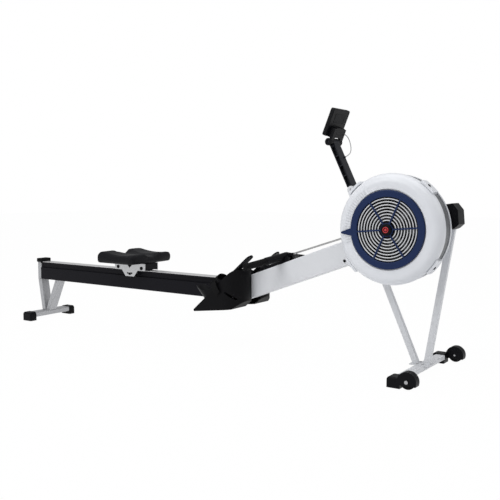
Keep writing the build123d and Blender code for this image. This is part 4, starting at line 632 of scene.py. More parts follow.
WHITE_SHELL = Finish(
    "white_shell", (0.735, 0.75, 0.785), 0.36, coat=0.15, grain=1500.0, depth=0.00002, tint=0.025,
    rub=0.05, rubbed=(0.6, 0.6, 0.6), edge=0.0016,
)
WHITE_PAINT = Finish(
    "white_powder_paint", (0.70, 0.71, 0.735), 0.40, coat=0.10, grain=2200.0, depth=0.00005, tint=0.03,
    rub=0.10, rubbed=(0.45, 0.45, 0.46), edge=0.0018,
)
NAVY = Finish(
    "navy_moulding", (0.0105, 0.0235, 0.080), 0.34, grain=1700.0, depth=0.00003, tint=0.10,
    rub=0.25, rubbed=(0.08, 0.12, 0.26), edge=0.0016, specular=0.16,
)
BLACK = Finish(
    "black_moulding", (0.0038, 0.0039, 0.0052), 0.42, grain=1300.0, depth=0.00008, tint=0.22,
    rub=0.30, rubbed=(0.035, 0.035, 0.039), edge=0.0014, specular=0.10,
)
BOARD = Finish(
    "footboard_plastic", (0.0028, 0.0028, 0.0036), 0.52, grain=1000.0, depth=0.00012, tint=0.20,
    rub=0.28, rubbed=(0.030, 0.030, 0.033), edge=0.0022, specular=0.10,
)
RAIL_PAINT = Finish(
    "rail_black_coat", (0.0050, 0.0048, 0.0078), 0.40, grain=2400.0, depth=0.00004, tint=0.16,
    rub=0.3, rubbed=(0.030, 0.030, 0.034), edge=0.0014, specular=0.10,
)
ARM_METAL = Finish(
    "arm_black_coat", (0.0125, 0.0135, 0.0185), 0.40, grain=1800.0, depth=0.00005, tint=0.14,
    rub=0.35, rubbed=(0.07, 0.075, 0.09), edge=0.0014, specular=0.16,
)
RUBBER = Finish(
    "grip_rubber", (0.0052, 0.0052, 0.0056), 0.72, grain=800.0, depth=0.00012, tint=0.18,
    rub=0.2, rubbed=(0.02, 0.02, 0.02), edge=0.0012, specular=0.10,
)
SILVER = Finish(
    "silver_paint", (0.46, 0.465, 0.48), 0.40, metallic=0.55, grain=2600.0, depth=0.00003, tint=0.06,
    rub=0.2, rubbed=(0.7, 0.7, 0.7), edge=0.0016,
)
PLATE = BrushedFinish(
    "carriage_plate_zinc", (0.56, 0.565, 0.575), 0.30, metallic=0.85, depth=0.00003, tint=0.12,
    rub=0.3, rubbed=(0.8, 0.8, 0.8),
)
TRACK = BrushedFinish(
    "stainless_track", (0.74, 0.735, 0.74), 0.32, metallic=0.65, depth=0.00002, tint=0.08, rub=0.0,
)
GUARD = Finish(
    "guard_wire", (0.66, 0.67, 0.69), 0.34, metallic=0.35, grain=1600.0, depth=0.00002, tint=0.06,
    rub=0.15, rubbed=(0.7, 0.7, 0.7), edge=0.0012,
)
MESH = Finish(
    "mesh_steel", (0.30, 0.31, 0.325), 0.42, metallic=0.55, grain=1500.0, depth=0.00003, tint=0.12,
    rub=0.0, edge=0.0003,
)
STEEL = Finish(
    "machined_steel", (0.42, 0.42, 0.43), 0.32, metallic=0.95, grain=1400.0, depth=0.00003, tint=0.12,
    rub=0.2, rubbed=(0.6, 0.6, 0.6), edge=0.0006,
)
CHAIN = Finish(
    "chain_steel", (0.42, 0.42, 0.42), 0.34, metallic=0.9, grain=900.0, depth=0.00002, tint=0.25,
    rub=0.0, edge=0.0002,
)
FAN = Finish(
    "fan_metal", (0.020, 0.0205, 0.022), 0.45, metallic=0.5, grain=1200.0, depth=0.00004, tint=0.2,
)
BOLTS = FastenerFinish(
    "plated_fasteners", (0.46, 0.46, 0.47), 0.33, metallic=0.8, grain=1500.0, depth=0.00002, tint=0.1,
    edge=0.0008,
)
PAD = Finish(
    "seat_skin", (0.0042, 0.0043, 0.0062), 0.52, grain=620.0, depth=0.00022, tint=0.22, rub=0.0,
    edge=0.0004, specular=0.16,
)
WEBBING = WovenFinish(
    "strap_webbing", (0.0060, 0.0060, 0.0064), 0.8, depth=0.0003, tint=0.35, rub=0.0, edge=0.0003,
    specular=0.12,
)
CORD = WovenFinish(
    "return_cord_sleeve", (0.03, 0.03, 0.032), 0.8, depth=0.0002, tint=0.3, rub=0.0, edge=0.0003,
)
CABLE = Finish(
    "cable_sheath", (0.42, 0.42, 0.43), 0.5, grain=900.0, depth=0.00003, tint=0.06, rub=0.0, edge=0.0002,
)
GLASS = Finish(
    "screen_glass", (0.012, 0.014, 0.014), 0.12, coat=0.6, grain=300.0, depth=0.000002, tint=0.1,
    rub=0.0, edge=0.0004,
)
RED = Finish(
    "red_enamel", (0.52, 0.012, 0.018), 0.35, coat=0.3, grain=1500.0, depth=0.00002, tint=0.1,
    rub=0.1, rubbed=(0.6, 0.1, 0.1), edge=0.0008,
)
LCD = Finish(
    "display_grey", (0.30, 0.33, 0.29), 0.25, coat=0.4, grain=600.0, depth=0.000002, tint=0.05,
    rub=0.0, edge=0.0003,
)
INK = Finish(
    "display_ink", (0.014, 0.015, 0.014), 0.4, grain=600.0, depth=0.000002, tint=0.1, rub=0.0, edge=0.0001,
)
DOOR = Finish(
    "battery_door_plastic", (0.0075, 0.0080, 0.0095), 0.5, grain=1100.0, depth=0.00008, tint=0.15,
    rub=0.2, rubbed=(0.04, 0.04, 0.045), edge=0.0008, specular=0.10,
)
# Grey for the moulded ribs of the damper's scale, which are white shell plastic: painted shade that makes
# the ribs read darker.
SCALE_RIB_PAINTED_SHADE = Finish(
    "scale_rib_painted_shade", (0.57, 0.58, 0.60), 0.45, grain=1500.0, depth=0.00002, tint=0.03, rub=0.0, edge=0.0004,
)
PALE = Finish(
    "pale_plug", (0.66, 0.68, 0.70), 0.45, grain=1500.0, depth=0.00003, tint=0.04, rub=0.05, edge=0.0008,
)

NODE_FINISHES: dict[Finish, tuple[str, ...]] = {
    WHITE_SHELL: ("housing_far_shell", "housing_near_shell", "housing_clips"),
    WHITE_PAINT: ("beam", "front_legs", "front_crossbar", "arm_post"),
    NAVY: ("damper_ring",),
    BLACK: (
        "beam_nose_block", "front_foot_caps", "rear_foot_caps", "intake_plate", "damper_shutter",
        "hub_cap", "cord_pulley", "handle_body", "handle_hook", "sole_right", "sole_left", "rollers_rear",
        "rollers_front", "lower_rollers", "monitor_case", "frame_joint", "carriage_frame",
        "monitor_neck", "roller_pins",
    ),
    BOARD: ("footboard_right", "footboard_left"),
    RAIL_PAINT: ("rail",),
    ARM_METAL: ("monitor_arm",),
    RUBBER: (
        "rail_end_stop", "wheel_right", "wheel_left", "handle_grips", "monitor_button_1",
        "monitor_button_2", "monitor_button_3",
    ),
    SILVER: ("rear_post", "rear_brace", "rear_crossbar"),
    PLATE: ("carriage_side_plates",),
    TRACK: ("rail_track",),
    GUARD: ("guard_rings",),
    MESH: ("housing_mesh_band",),
    STEEL: ("flywheel_axle", "axle_bearings", "sprocket", "one_way_clutch", "cross_pins"),
    CHAIN: ("drive_chain", "return_chain"),
    FAN: ("flywheel_fan",),
    BOLTS: ("frame_bolts",),
    PAD: ("seat_pad",),
    WEBBING: ("strap_right", "strap_left"),
    CORD: ("return_cord",),
    CABLE: ("monitor_cable",),
    GLASS: ("monitor_screen",),
}


def paint(piece: Piece, finish: Finish) -> None:
    """Give a piece one finish all over."""
    piece.data.materials.clear()
    piece.data.materials.append(finish.build())


def place_piece(piece: Piece, body: str, finish: Finish) -> Piece:
    """Paint a finished piece and let it ride on a body.

    Args:
        piece: The finished piece, sitting at the origin.
        body: The body it moves with.
        finish: Its finish.

    Returns:
        The same piece.
    """
    paint(piece, finish)
    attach(piece, body)
    LOG.info("piece %s rides on %s", piece.name, body)
    return piece


@dataclass
class Studio:
    """Floor, lights and camera."""

    eye: Triple = (2.152, -2.748, 0.753)
    yaw: float = 34.78
    pitch: float = -5.03
    lens: float = 52.11
    sensor: float = 36.0
    sight: float = 60.0
    floor_size: float = 30.0
    floor_drop: float = 0.0005
    floor_colour: Colour = (0.86, 0.87, 0.88)
    floor_glow: float = 0.985
    sky_colour: Colour = (0.985, 0.99, 1.0)
    sky_strength: float = 0.46
    lamps: tuple[tuple[str, Triple, Triple, float, float], ...] = (
        ("top_box", (0.6, -0.6, 3.6), (0.3, 0.0, 0.4), 3.2, 58.0),
        ("key_box", (-0.6, -3.4, 2.6), (0.6, 0.0, 0.5), 2.2, 50.0),
        ("rim_box", (3.6, 1.2, 2.2), (0.9, 0.0, 0.5), 1.8, 14.0),
    )

    def build(self) -> None:
        """Set up everything that isn't the machine."""
        self._camera()
        self._floor()
        self._world()
        self._lamps()
        bpy.context.scene.view_settings.view_transform = "Standard"

    def _camera(self) -> None:
        """Camera at the place and angle of the photograph."""
        lens = bpy.data.cameras.new("camera")
        lens.lens = self.lens
        lens.sensor_width = self.sensor
        lens.clip_end = self.sight
        camera = bpy.data.objects.new("camera", lens)
        camera.location = self.eye
        camera.rotation_euler = (math.radians(90 + self.pitch), 0.0, math.radians(self.yaw))
        bpy.context.scene.collection.objects.link(camera)
        bpy.context.scene.camera = camera

    @staticmethod
    def _mixed(sketch: NodeSketch, share: Socket, first: Node, second: Node, end: Node) -> None:
        """Wire two shaders into an output.

        Args:
            sketch: The tree they are in.
            share: How much of the second one shows.
            first: The shader at a share of 0.
            second: The shader at a share of 1.
            end: The output node.
        """
        mix = sketch.add("MixShader")
        for slot, source in enumerate((share, first.outputs[0], second.outputs[0])):
            sketch.wire(source, mix.inputs[slot])
        sketch.wire(mix.outputs[0], end.inputs["Surface"])

    def _floor(self) -> None:
        """Wide pale floor that fades to white and keeps a soft shadow."""
        Bench.clear()
        bpy.ops.mesh.primitive_plane_add(size=self.floor_size, location=(0.0, 0.0, -self.floor_drop))
        floor = Bench.named("floor")
        material = bpy.data.materials.new("pale_floor")
        material.use_nodes = True
        sketch = NodeSketch(material.node_tree)
        end = sketch.add("OutputMaterial")
        pale = sketch.add("BsdfDiffuse", {"Color": (*self.floor_colour, 1.0)})
        glow = sketch.add("Emission", {"Color": WHITE})
        path = sketch.add("LightPath")
        seen = sketch.math("MAXIMUM", path.outputs["Is Camera Ray"], path.outputs["Is Glossy Ray"])
        self._mixed(sketch, sketch.math("MULTIPLY", seen, self.floor_glow), pale, glow, end)
        floor.data.materials.append(material)

    def _world(self) -> None:
        """White surroundings, dimmer as light than as background."""
        world = bpy.data.worlds.new("studio")
        bpy.context.scene.world = world
        world.use_nodes = True
        sketch = NodeSketch(world.node_tree)
        end = sketch.add("OutputWorld")
        light = sketch.add("Background", {"Color": (*self.sky_colour, 1.0), "Strength": self.sky_strength})
        backdrop = sketch.add("Background", {"Color": WHITE})
        path = sketch.add("LightPath")
        self._mixed(sketch, path.outputs["Is Camera Ray"], light, backdrop, end)

    def _lamps(self) -> None:
        """Soft boxes above, at the camera's left and behind."""
        for name, place, aim, size, power in self.lamps:
            lamp = bpy.data.lights.new(name, "AREA")
            lamp.shape = "SQUARE"
            lamp.size = size
            lamp.energy = power
            holder = bpy.data.objects.new(name, lamp)
            holder.location = place
            turn = (Vector(aim) - Vector(place)).to_track_quat("-Z", "Y")
            holder.rotation_euler = turn.to_euler()
            bpy.context.scene.collection.objects.link(holder)


@dataclass
class SeatCushion:
    """Foam seat with its skin drawn over two lobes, filled by a cloth simulation."""

    shrink: float = 0.003
    voxel: float = 0.0045
    rounding: int = 2
    steps: int = 20
    pressure: float = 2.0
    travel: float = 0.0035
    rest_band: float = 0.006

    def build(self) -> None:
        """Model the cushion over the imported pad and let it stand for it."""
        pad = Bench.copy_node("seat_pad", "seat_cushion")
        Bench.edit_all(pad)
        bpy.ops.transform.shrink_fatten(value=-self.shrink)
        Bench.close()
        Bench.modify(pad, "REMESH", mode="VOXEL", voxel_size=self.voxel)
        Bench.edit_all(pad)
        bpy.ops.mesh.vertices_smooth(factor=0.5, repeat=self.rounding)
        Bench.close()
        self._fill(pad)
        Bench.modify(pad, "SUBSURF", levels=1, render_levels=1)
        Bench.smooth(pad, 60.0)
        place_piece(pad, "seat", PAD)
        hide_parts("seat_pad")

    def _fill(self, pad: Piece) -> None:
        """Swell the skin with a short cloth run, holding the side that lies on the carriage.

        Args:
            pad: The remeshed pad.
        """
        lowest = min(vertex.co.z for vertex in pad.data.vertices)
        held = pad.vertex_groups.new(name="rest")
        held.add([v.index for v in pad.data.vertices if v.co.z < lowest + self.rest_band], 1.0, "REPLACE")
        cloth = pad.modifiers.new("filling", "CLOTH")
        cloth.settings.vertex_group_mass = held.name
        cloth.settings.use_pressure = True
        cloth.settings.uniform_pressure_force = self.pressure
        cloth.settings.effector_weights.gravity = 0.0
        scene = bpy.context.scene
        for step in range(1, self.steps + 1):
            scene.frame_set(step)
        swollen = pad.evaluated_get(bpy.context.evaluated_depsgraph_get()).data
        ends = [vertex.co.copy() for vertex in swollen.vertices]
        pad.modifiers.remove(cloth)
        scene.frame_set(1)
        for vertex, end in zip(pad.data.vertices, ends):
            move = end - vertex.co
            if move.length > self.travel:
                move = move.normalized() * self.travel
            vertex.co += move
        pad.vertex_groups.clear()


@dataclass
class FootStraps:
    """Webbing over each foot, with a buckle on its outer side and a loose tail."""

    slope: float = math.radians(41.4)
    deck_x: float = 0.025
    deck_z: float = 0.173
    centre: float = 0.110
    place: float = 0.195
    half: float = 0.04975
    rise: float = 0.0468
    width: float = 0.038
    hollow: float = 0.02
    bow: float = 0.004
    off_deck: float = 0.002
    thickness: float = 0.0022
    edge_share: float = 0.3
    band_steps: int = 56
    buckle: Triple = (0.047, 0.005, 0.026)
    buckle_height: float = 0.020
    buckle_out: float = 0.0045
    buckle_rim: float = 0.005
    buckle_rounding: float = 0.0008
    bar_radius: float = 0.0022
    bar_short: float = 0.004
    bar_sides: int = 12
    tail_steps: int = 18
    tail_width: float = 0.030
    tail_drop: float = 0.062
    tail_top: float = 0.008
    tail_slant: float = 0.010
    tail_swing: float = 0.012
    tail_turn: float = 2.4

    def on_deck(self, side: int, along: float, across: float, height: float) -> Vector:
        """A point given along, across and above one foot's deck.

        Args:
            side: -1 for the right foot, 1 for the left.
            along: Distance up the slope.
            across: Distance to the machine's left of the foot's middle.
            height: Distance off the deck.

        Returns:
            The point in the machine's frame.
        """
        x = self.deck_x + along * math.cos(self.slope) - height * math.sin(self.slope)
        z = self.deck_z + along * math.sin(self.slope) + height * math.cos(self.slope)
        return Vector((x, side * self.centre + across, z))

    def build(self) -> None:
        """Make both feet's straps."""
        for side, name in ((-1, "right"), (1, "left")):
            band = self._band(side, name)
            place_piece(band, f"{name}_foot", WEBBING)
            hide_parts(f"strap_{name}")
            place_piece(self._tail(side, name), f"{name}_foot", WEBBING)
            place_piece(self._buckle(side, name), f"{name}_foot", BLACK)

    def _strip(self, name: str, steps: int) -> Piece:
        """A flat unit strip with its own map, to be laid along a path."""
        Bench.clear()
        bpy.ops.mesh.primitive_grid_add(x_subdivisions=steps, y_subdivisions=6, size=1.0, calc_uvs=True)
        return Bench.named(name)

    def _thicken(self, strip: Piece) -> Piece:
        """Give a strip its thickness and soft edges."""
        Bench.modify(strip, "SOLIDIFY", thickness=self.thickness, offset=0.0)
        Bench.bevel(strip, self.thickness * self.edge_share)
        Bench.smooth(strip, 50.0)
        return strip

    def _band(self, side: int, name: str) -> Piece:
        """The arch of webbing over the foot, a little hollow between its edges."""
        strip = self._strip(f"strap_band_{name}", self.band_steps)
        for vertex in strip.data.vertices:
            turn = math.pi * (vertex.co.x + 0.5)
            lift = 1.0 + self.hollow * math.cos(2.0 * math.pi * vertex.co.y)
            vertex.co = self.on_deck(
                side,
                self.place + vertex.co.y * self.width + self.bow * math.sin(turn),
                -math.cos(turn) * self.half,
                self.off_deck + math.sin(turn) * self.rise * lift,
            )
        return self._thicken(strip)

    def _tail(self, side: int, name: str) -> Piece:
        """The loose end that hangs from the buckle beside the board."""
        strip = self._strip(f"strap_tail_{name}", self.tail_steps)
        for vertex in strip.data.vertices:
            run = vertex.co.x + 0.5
            out = self.half + self.buckle_out + self.tail_swing * math.sin(run * self.tail_turn)
            vertex.co = self.on_deck(
                side,
                self.place + vertex.co.y * self.tail_width - self.tail_slant * run,
                side * out,
                self.buckle_height + self.tail_top - run * self.tail_drop,
            )
        return self._thicken(strip)

    def _buckle(self, side: int, name: str) -> Piece:
        """A ladder buckle: a frame with a bar across its opening."""
        ladder = Bench.cube(f"strap_buckle_{name}", self.buckle)
        Bench.pick(ladder, lambda centre, normal: abs(normal.y) > FACING)
        bpy.ops.mesh.inset(thickness=self.buckle_rim)
        bpy.ops.mesh.bridge_edge_loops()
        Bench.close()
        bar = Bench.cylinder(
            "buckle_bar", self.bar_sides, self.bar_radius, self.buckle[0] - self.bar_short,
            rotation=(0.0, math.pi / 2, 0.0),
        )
        joined = Bench.join([ladder, bar], f"strap_buckle_{name}")
        Bench.outward(joined)
        Bench.bevel(joined, self.buckle_rounding)
        place = self.on_deck(side, self.place, side * (self.half + self.buckle_out), self.buckle_height)
        Bench.put(joined, place, (0.0, -self.slope, 0.0))
        Bench.smooth(joined)
        return joined


@dataclass
class MonitorCable:
    """Thin lead from the back of the monitor to the folding arm."""

    diameter: float = 0.0038
    route: tuple[Triple, ...] = (
        (0.6495, 0.1280, 0.9855),
        (0.6643, 0.1280, 0.9794),
        (0.6800, 0.1270, 0.9640),
        (0.6910, 0.1220, 0.9440),
        (0.7010, 0.1130, 0.9220),
        (0.7060, 0.1010, 0.9020),
        (0.7056, 0.0845, 0.8884),
        (0.6884, 0.0845, 0.8801),
    )

    def _line(self, name: str, bevel: float) -> Piece:
        """A smooth line through the route's control points.

        Args:
            name: The curve's name.
            bevel: Radius of its round section, or 0 for a bare line.

        Returns:
            The curve object.
        """
        curve = bpy.data.curves.new(name, "CURVE")
        curve.dimensions = "3D"
        curve.bevel_depth = bevel
        curve.bevel_resolution = 4
        curve.use_fill_caps = bevel > 0.0
        spline = curve.splines.new("NURBS")
        spline.points.add(len(self.route) - 1)
        for point, place in zip(spline.points, self.route):
            point.co = (*place, 1.0)
        spline.order_u = 3
        spline.use_endpoint_u = True
        spline.resolution_u = 10
        line = bpy.data.objects.new(name, curve)
        bpy.context.scene.collection.objects.link(line)
        return line

    def build(self) -> None:
        bare = self._line("cable_line", 0.0)
        bpy.context.view_layer.update()
        mesh = bpy.data.meshes.new_from_object(bare.evaluated_get(bpy.context.evaluated_depsgraph_get()))
        bpy.data.meshes.remove(mesh)
        bpy.data.objects.remove(bare)
        tube = self._line("monitor_lead", self.diameter / 2)
        Bench.take(tube)
        bpy.ops.object.convert(target="MESH")
        tube = Bench.named("monitor_lead")
        Bench.outward(tube)
        Bench.smooth(tube, 60.0)
        paint(tube, CABLE)
        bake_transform(tube)
        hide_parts("monitor_cable")


@dataclass
class MeshBand:
    """Perforated steel band between the two housing shells."""

    segments: int = 300
    rows: int = 12
    web: float = 0.0009
    thickness: float = 0.0011

    def build(self) -> None:
        """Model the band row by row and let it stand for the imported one."""
        low, high = (Vector(corner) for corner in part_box("housing_mesh_band"))
        middle = (low + high) / 2
        width = high.y - low.y
        band = Bench.cylinder(
            "mesh_band", self.segments, (high.x - low.x) / 2 - self.thickness / 2, width,
            end_fill_type="NOTHING", location=middle, rotation=LYING,
        )
        for row in range(1, self.rows):
            Bench.edit_all(band)
            bpy.ops.mesh.bisect(
                plane_co=(0.0, low.y + width * row / self.rows, 0.0), plane_no=(0.0, 1.0, 0.0),
                use_fill=False, clear_inner=False, clear_outer=False,
            )
        Bench.close()
        Bench.outward(band)
        Bench.pick(band, lambda centre, normal: True)
        bpy.ops.mesh.inset(thickness=self.web, use_individual=True)
        bpy.ops.mesh.delete(type="FACE")
        Bench.close()
        Bench.modify(band, "SOLIDIFY", thickness=self.thickness, offset=0.0)
        place_piece(band, "frame", MESH)
        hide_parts("housing_mesh_band")


@dataclass
class DriveChain:
    """Roller chain from the sprocket to the handle, split into stretches."""

    stretches: int = 10
    sprocket_end: Vector = field(default_factory=lambda: Vector((0.9937, 0.0, 0.6217)))
    handle_end: Vector = field(default_factory=lambda: Vector((0.4776, 0.0, 0.4529)))

    def _share(self, place: Vector) -> float:
        """How far along the chain a point lies, 0 at the sprocket and 1 at the handle."""
        run = self.handle_end - self.sprocket_end
        return (place - self.sprocket_end).dot(run) / run.length_squared

    @staticmethod
    def _eased(step: float) -> float:
        """The smoothed share along the chain at an even step."""
        return step * step * (3.0 - 2.0 * step)

    def build(self) -> None:
        """Split the chain by its links and join them into stretches along its run."""
        whole = Bench.copy_node("drive_chain", "drive_chain_links")
        Bench.edit_all(whole)
        bpy.ops.mesh.separate(type="LOOSE")
        Bench.close()
        links = list(bpy.context.selected_objects)
        groups: dict[int, list[Piece]] = {}
        for link in links:
            groups.setdefault(self._stretch_of(link), []).append(link)
        for number, mine in sorted(groups.items()):
            count = len(mine)
            piece = Bench.join(mine, f"chain_stretch_{number + 1}")
            Bench.smooth(piece)
            paint(piece, CHAIN)
            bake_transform(piece)
            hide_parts("drive_chain")
            LOG.info("piece %s, %d links", piece.name, count)

    def _stretch_of(self, link: Piece) -> int:
        """The stretch that holds a link's middle; the end ones take what lies beyond them.

        Args:
            link: One loose link of the chain.

        Returns:
            The stretch's number, from 0 at the sprocket.
        """
        corners = [Vector(corner) for corner in link.bound_box]
        share = self._share(sum(corners, Vector()) / len(corners))
        passed = [step for step in range(1, self.stretches) if share >= self._eased(step / self.stretches)]
        return len(passed)


@dataclass
class HousingTrim:
    """Red badge on the hub, ribs of the damper's scale in a grey of painted shade, cups of the clip
    screws, bolts on the beam.
    """

    axle: Vector = field(default_factory=lambda: Vector((1.005, 0.0, 0.587)))
    badge: float = 0.0118
    badge_sides: int = 48
    badge_depth: float = 0.002
    badge_proud: float = 0.0007
    badge_ring: float = 0.0030
    badge_groove: float = 0.0034
    badge_step: float = 0.0008
    ribs: int = 22
    rib_radius: float = 0.1685
    rib_start: float = 125.0
    rib_end: float = 198.0
    rib_size: Triple = (0.0265, 0.0010, 0.0014)
    scale_depth: float = 0.0025
    clip_angles: tuple[float, ...] = (48.0, 134.0, 222.0, 322.0)
    clip_radius: float = 0.2278
    clip_place: float = -0.144
    cup: CupHead = CupHead(radius=0.0064, height=0.003, rim=0.00224, sink=0.0018, rounding=0.0003)
    beam_bolts: tuple[tuple[float, float], ...] = ((0.752, 0.4405), (0.774, 0.4455))
    beam_side: float = -0.035
    bolt_radius: float = 0.0048
    bolt_depth: float = 0.003
    bolt_proud: float = 0.0025
    bolt_crown: tuple[float, float] = (0.0008, -0.0004)
    washer_radius: float = 0.0066
    washer_depth: float = 0.0012
    washer_proud: float = 0.0005
    fine_rounding: float = 0.0002
    rib_rounding: float = 0.0003

    def build(self) -> None:
        """Add every small fitting of the housing and the beam beside it."""
        badge = self._badge()
        place_piece(badge, "damper", RED)
        self._blacken_groove(badge)
        # The scale ribs get a grey of painted shade, darker than the shell they belong to.
        place_piece(self._ribs(), "frame", SCALE_RIB_PAINTED_SHADE)
        place_piece(self._cups(), "frame", BLACK)
        place_piece(self._bolts(), "frame", BLACK)

    def _badge(self) -> Piece:
        """A disc with a raised rim and a raised middle, set on the hub cap."""
        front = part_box("hub_cap")[0][1]
        disc = Bench.cylinder(
            "hub_badge", self.badge_sides, self.badge, self.badge_depth, rotation=LYING,
            location=(self.axle.x, front - self.badge_proud, self.axle.z),
        )
        groove = ((self.badge_ring, self.badge_step), (self.badge_groove, -self.badge_step))
        Bench.step_in(disc, RIGHT, *groove)
        Bench.bevel(disc, self.fine_rounding)
        Bench.smooth(disc)
        return disc

    def _blacken_groove(self, disc: Piece) -> None:
        """Give the groove between rim and middle a black finish.

        Args:
            disc: The painted badge.
        """
        disc.data.materials.append(BLACK.build())
        rim = self.badge - self.badge_ring
        for polygon in disc.data.polygons:
            away = (polygon.center - self.axle).xz.length
            flat = polygon.normal.dot(RIGHT) > FACING
            polygon.material_index = int(flat and rim - self.badge_groove < away < rim)

    def _round(self, angle: float, radius: float, place: float) -> Vector:
        """A point round the axle.

        Args:
            angle: Degrees from forward, rising.
            radius: Distance from the axle.
            place: Its place across the machine.

        Returns:
            The point.
        """
        turn = math.radians(angle)
        return Vector((
            self.axle.x + radius * math.cos(turn), place, self.axle.z + radius * math.sin(turn),
        ))

    def _ribs(self) -> Piece:
        """Fine raised ribs that point at the axle, in the recess of the scale, in a grey that paints their
        shade on the white shell.
        """
        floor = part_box("housing_near_shell")[0][1] + self.scale_depth
        step = (self.rib_end - self.rib_start) / (self.ribs - 1)
        bars = []
        for number in range(self.ribs):
            angle = self.rib_start + step * number
            bar = Bench.cube(f"scale_rib_{number + 1}", self.rib_size)
            Bench.bevel(bar, self.rib_rounding)
            place = self._round(angle, self.rib_radius, floor - self.rib_size[1] / 2)
            Bench.put(bar, place, (0.0, -math.radians(angle), 0.0))
            bars.append(bar)
        ribs = Bench.join(bars, "damper_scale_ribs")
        Bench.smooth(ribs)
        return ribs

    def _cups(self) -> Piece:
        """Black cups round the clip screws."""
        cups = [
            self.cup.build(
                f"clip_screw_cup_{number + 1}",
                self._round(angle, self.clip_radius, self.clip_place),
                (0.0, math.pi / 2 - math.radians(angle), 0.0),
            )
            for number, angle in enumerate(self.clip_angles)
        ]
        joined = Bench.join(cups, "clip_screw_cups")
        Bench.smooth(joined)
        return joined

    def _bolts(self) -> Piece:
        """Two hexagon heads on the side of the beam, each on a washer."""
        parts = []
        for number, (x, z) in enumerate(self.beam_bolts):
            head = Bench.cylinder(
                f"beam_bolt_{number + 1}", 6, self.bolt_radius, self.bolt_depth, rotation=LYING,
                location=(x, self.beam_side - self.bolt_proud, z),
            )
            Bench.step_in(head, RIGHT, self.bolt_crown)
            washer = Bench.cylinder(
                f"beam_washer_{number + 1}", HEAD_SIDES, self.washer_radius, self.washer_depth,
                rotation=LYING, location=(x, self.beam_side - self.washer_proud, z),
            )
            parts += [head, washer]
        joined = Bench.join(parts, "beam_side_bolts")
        Bench.bevel(joined, self.fine_rounding)
        Bench.smooth(joined)
        return joined


@dataclass
class CarriageTrim:
    """Black washers and bolt heads on both side plates of the seat's carriage."""

    heads: tuple[Triple, ...] = (
        (-0.561, 0.3353, 0.0092),
        (-0.397, 0.3353, 0.0092),
        (-0.4925, 0.3060, 0.0040),
        (-0.4655, 0.3060, 0.0040),
    )
    height: float = 0.0024
    let_in: float = 0.0002
    rim_share: float = 0.45
    sink_share: float = 0.5
    rounding_share: float = 0.2

    def build(self) -> None:
        """Set one group of heads on the right plate and one on the left."""
        low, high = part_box("carriage_side_plates")
        for name, face, way in (("right", low[1], -1.0), ("left", high[1], 1.0)):
            place_piece(self._group(name, face, way), "seat", BLACK)

    def _group(self, name: str, face: float, way: float) -> Piece:
        """Domed heads with a socket on the outer face of one plate.

        Args:
            name: The side.
            face: The plate's outer face across the machine.
            way: -1 where outwards is to the right, 1 to the left.

        Returns:
            The heads as one piece.
        """
        heads = []
        for number, (x, z, radius) in enumerate(self.heads):
            head = CupHead(
                radius, self.height, radius * self.rim_share, self.height * self.sink_share,
                self.height * self.rounding_share,
            )
            place = (x, face + way * (self.height / 2 - self.let_in), z)
            heads.append(head.build(f"carriage_head_{number + 1}", place, (-way * math.pi / 2, 0.0, 0.0)))
        joined = Bench.join(heads, f"carriage_bolts_{name}")
        Bench.smooth(joined)
        return joined


@dataclass(frozen=True)
class PanelBlock:
    """A rounded block with a sunk panel on its front."""

    size: Triple
    rim: float
    sink: float
    rounding_share: float = 0.18

    def build(self, name: str) -> Piece:
        """Model the block.

        Args:
            name: The piece's name.

        Returns:
            The block, at the origin.
        """
        block = Bench.cube(name, self.size)
        Bench.step_in(block, UP, (self.rim, self.sink))
        Bench.bevel(block, min(self.size) * self.rounding_share)
        return block


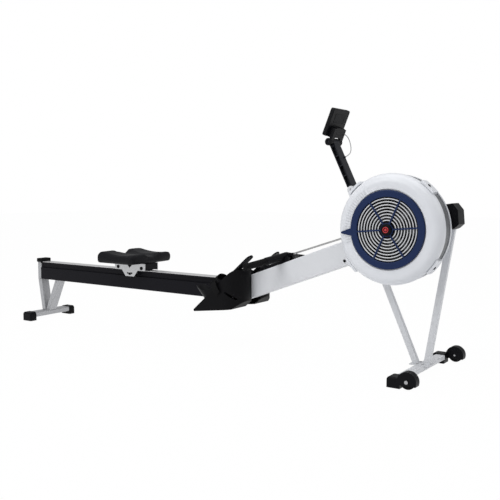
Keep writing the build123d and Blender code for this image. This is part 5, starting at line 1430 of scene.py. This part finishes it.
@dataclass
class MonitorTrim:
    """Display, plug and battery door of the monitor."""

    up: Vector = field(default_factory=lambda: Vector((0.3795, 0.0, 0.9252)))
    back: Vector = field(default_factory=lambda: Vector((0.9252, 0.0, -0.3795)))
    panel: PanelBlock = PanelBlock((0.108, 0.052, 0.0016), 0.0015, 0.0003)
    panel_proud: float = 0.0008
    plug: PanelBlock = PanelBlock((0.013, 0.010, 0.012), 0.0018, 0.0006)
    plug_let_in: float = 0.003
    door: PanelBlock = PanelBlock((0.086, 0.040, 0.0022), 0.003, 0.0006)
    door_back: float = 0.0088
    door_up: float = 0.020
    figure_depth: float = 0.0002
    figure_proud: float = 0.0009
    readings: tuple[tuple[str, float, float, float], ...] = (
        ("2:05", 0.024, 0.006, 0.004),
        ("24", 0.020, -0.040, -0.020),
        ("500", 0.014, -0.050, -0.014),
        ("0:00", 0.014, 0.006, -0.014),
    )

    def build(self) -> None:
        """Add every fitting of the monitor."""
        low, high = (Vector(corner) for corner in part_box("monitor_screen"))
        middle = (low + high) / 2 - self.back * self.panel_proud
        panel = self.panel.build("display_panel")
        self._stand(panel, middle)
        place_piece(panel, "monitor", LCD)
        place_piece(self._digits(middle - self.back * self.figure_proud), "monitor", INK)
        plug = self.plug.build("lead_plug")
        self._stand(plug, Vector(MonitorCable().route[0]) - self.back * self.plug_let_in)
        place_piece(plug, "monitor", PALE)
        place_piece(self._door(), "monitor", DOOR)

    def _stand(self, piece: Piece, place: Vector) -> None:
        """Turn a piece modelled in the XY plane to face the rower, and set it in place.

        Args:
            piece: The piece, with its width along X and its height along Y.
            place: Where its middle goes.
        """
        turn = Matrix((Vector((0.0, -1.0, 0.0)), self.up, -self.back)).transposed()
        piece.matrix_world = Matrix.Translation(place) @ turn.to_4x4()
        Bench.settle(piece)

    def _digits(self, middle: Vector) -> Piece:
        """Plain figures on the display.

        Args:
            middle: The middle of the display.

        Returns:
            The figures as one piece.
        """
        figures = []
        for words, size, left, low in self.readings:
            Bench.clear()
            bpy.ops.object.text_add()
            text = bpy.context.object
            text.data.body = words
            text.data.size = size
            text.data.extrude = self.figure_depth
            bpy.ops.object.convert(target="MESH")
            figure = Bench.named("display_figures")
            for vertex in figure.data.vertices:
                vertex.co += Vector((left, low, 0.0))
            self._stand(figure, middle)
            figures.append(figure)
        return Bench.join(figures, "display_figures")

    def _door(self) -> Piece:
        """The battery door on the back of the case, its panel facing away from the rower."""
        low, high = (Vector(corner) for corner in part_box("monitor_case"))
        door = self.door.build("battery_door")
        door.matrix_world = Matrix.Rotation(math.pi, 4, "Y")
        Bench.settle(door)
        self._stand(door, (low + high) / 2 + self.back * self.door_back + self.up * self.door_up)
        return door


def dress_nodes() -> None:
    """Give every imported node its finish."""
    for finish, nodes in NODE_FINISHES.items():
        for node in nodes:
            paint(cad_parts[node], finish)


def main() -> None:
    """Build every part of the scene in order."""
    logging.basicConfig(level=logging.INFO)
    Studio().build()
    dress_nodes()
    for assembly in (
        MonitorCable(), SeatCushion(), FootStraps(), MeshBand(), DriveChain(), HousingTrim(),
        CarriageTrim(), MonitorTrim(),
    ):
        LOG.info("building %s", type(assembly).__name__)
        assembly.build()


if __name__ == "__main__":
    main()
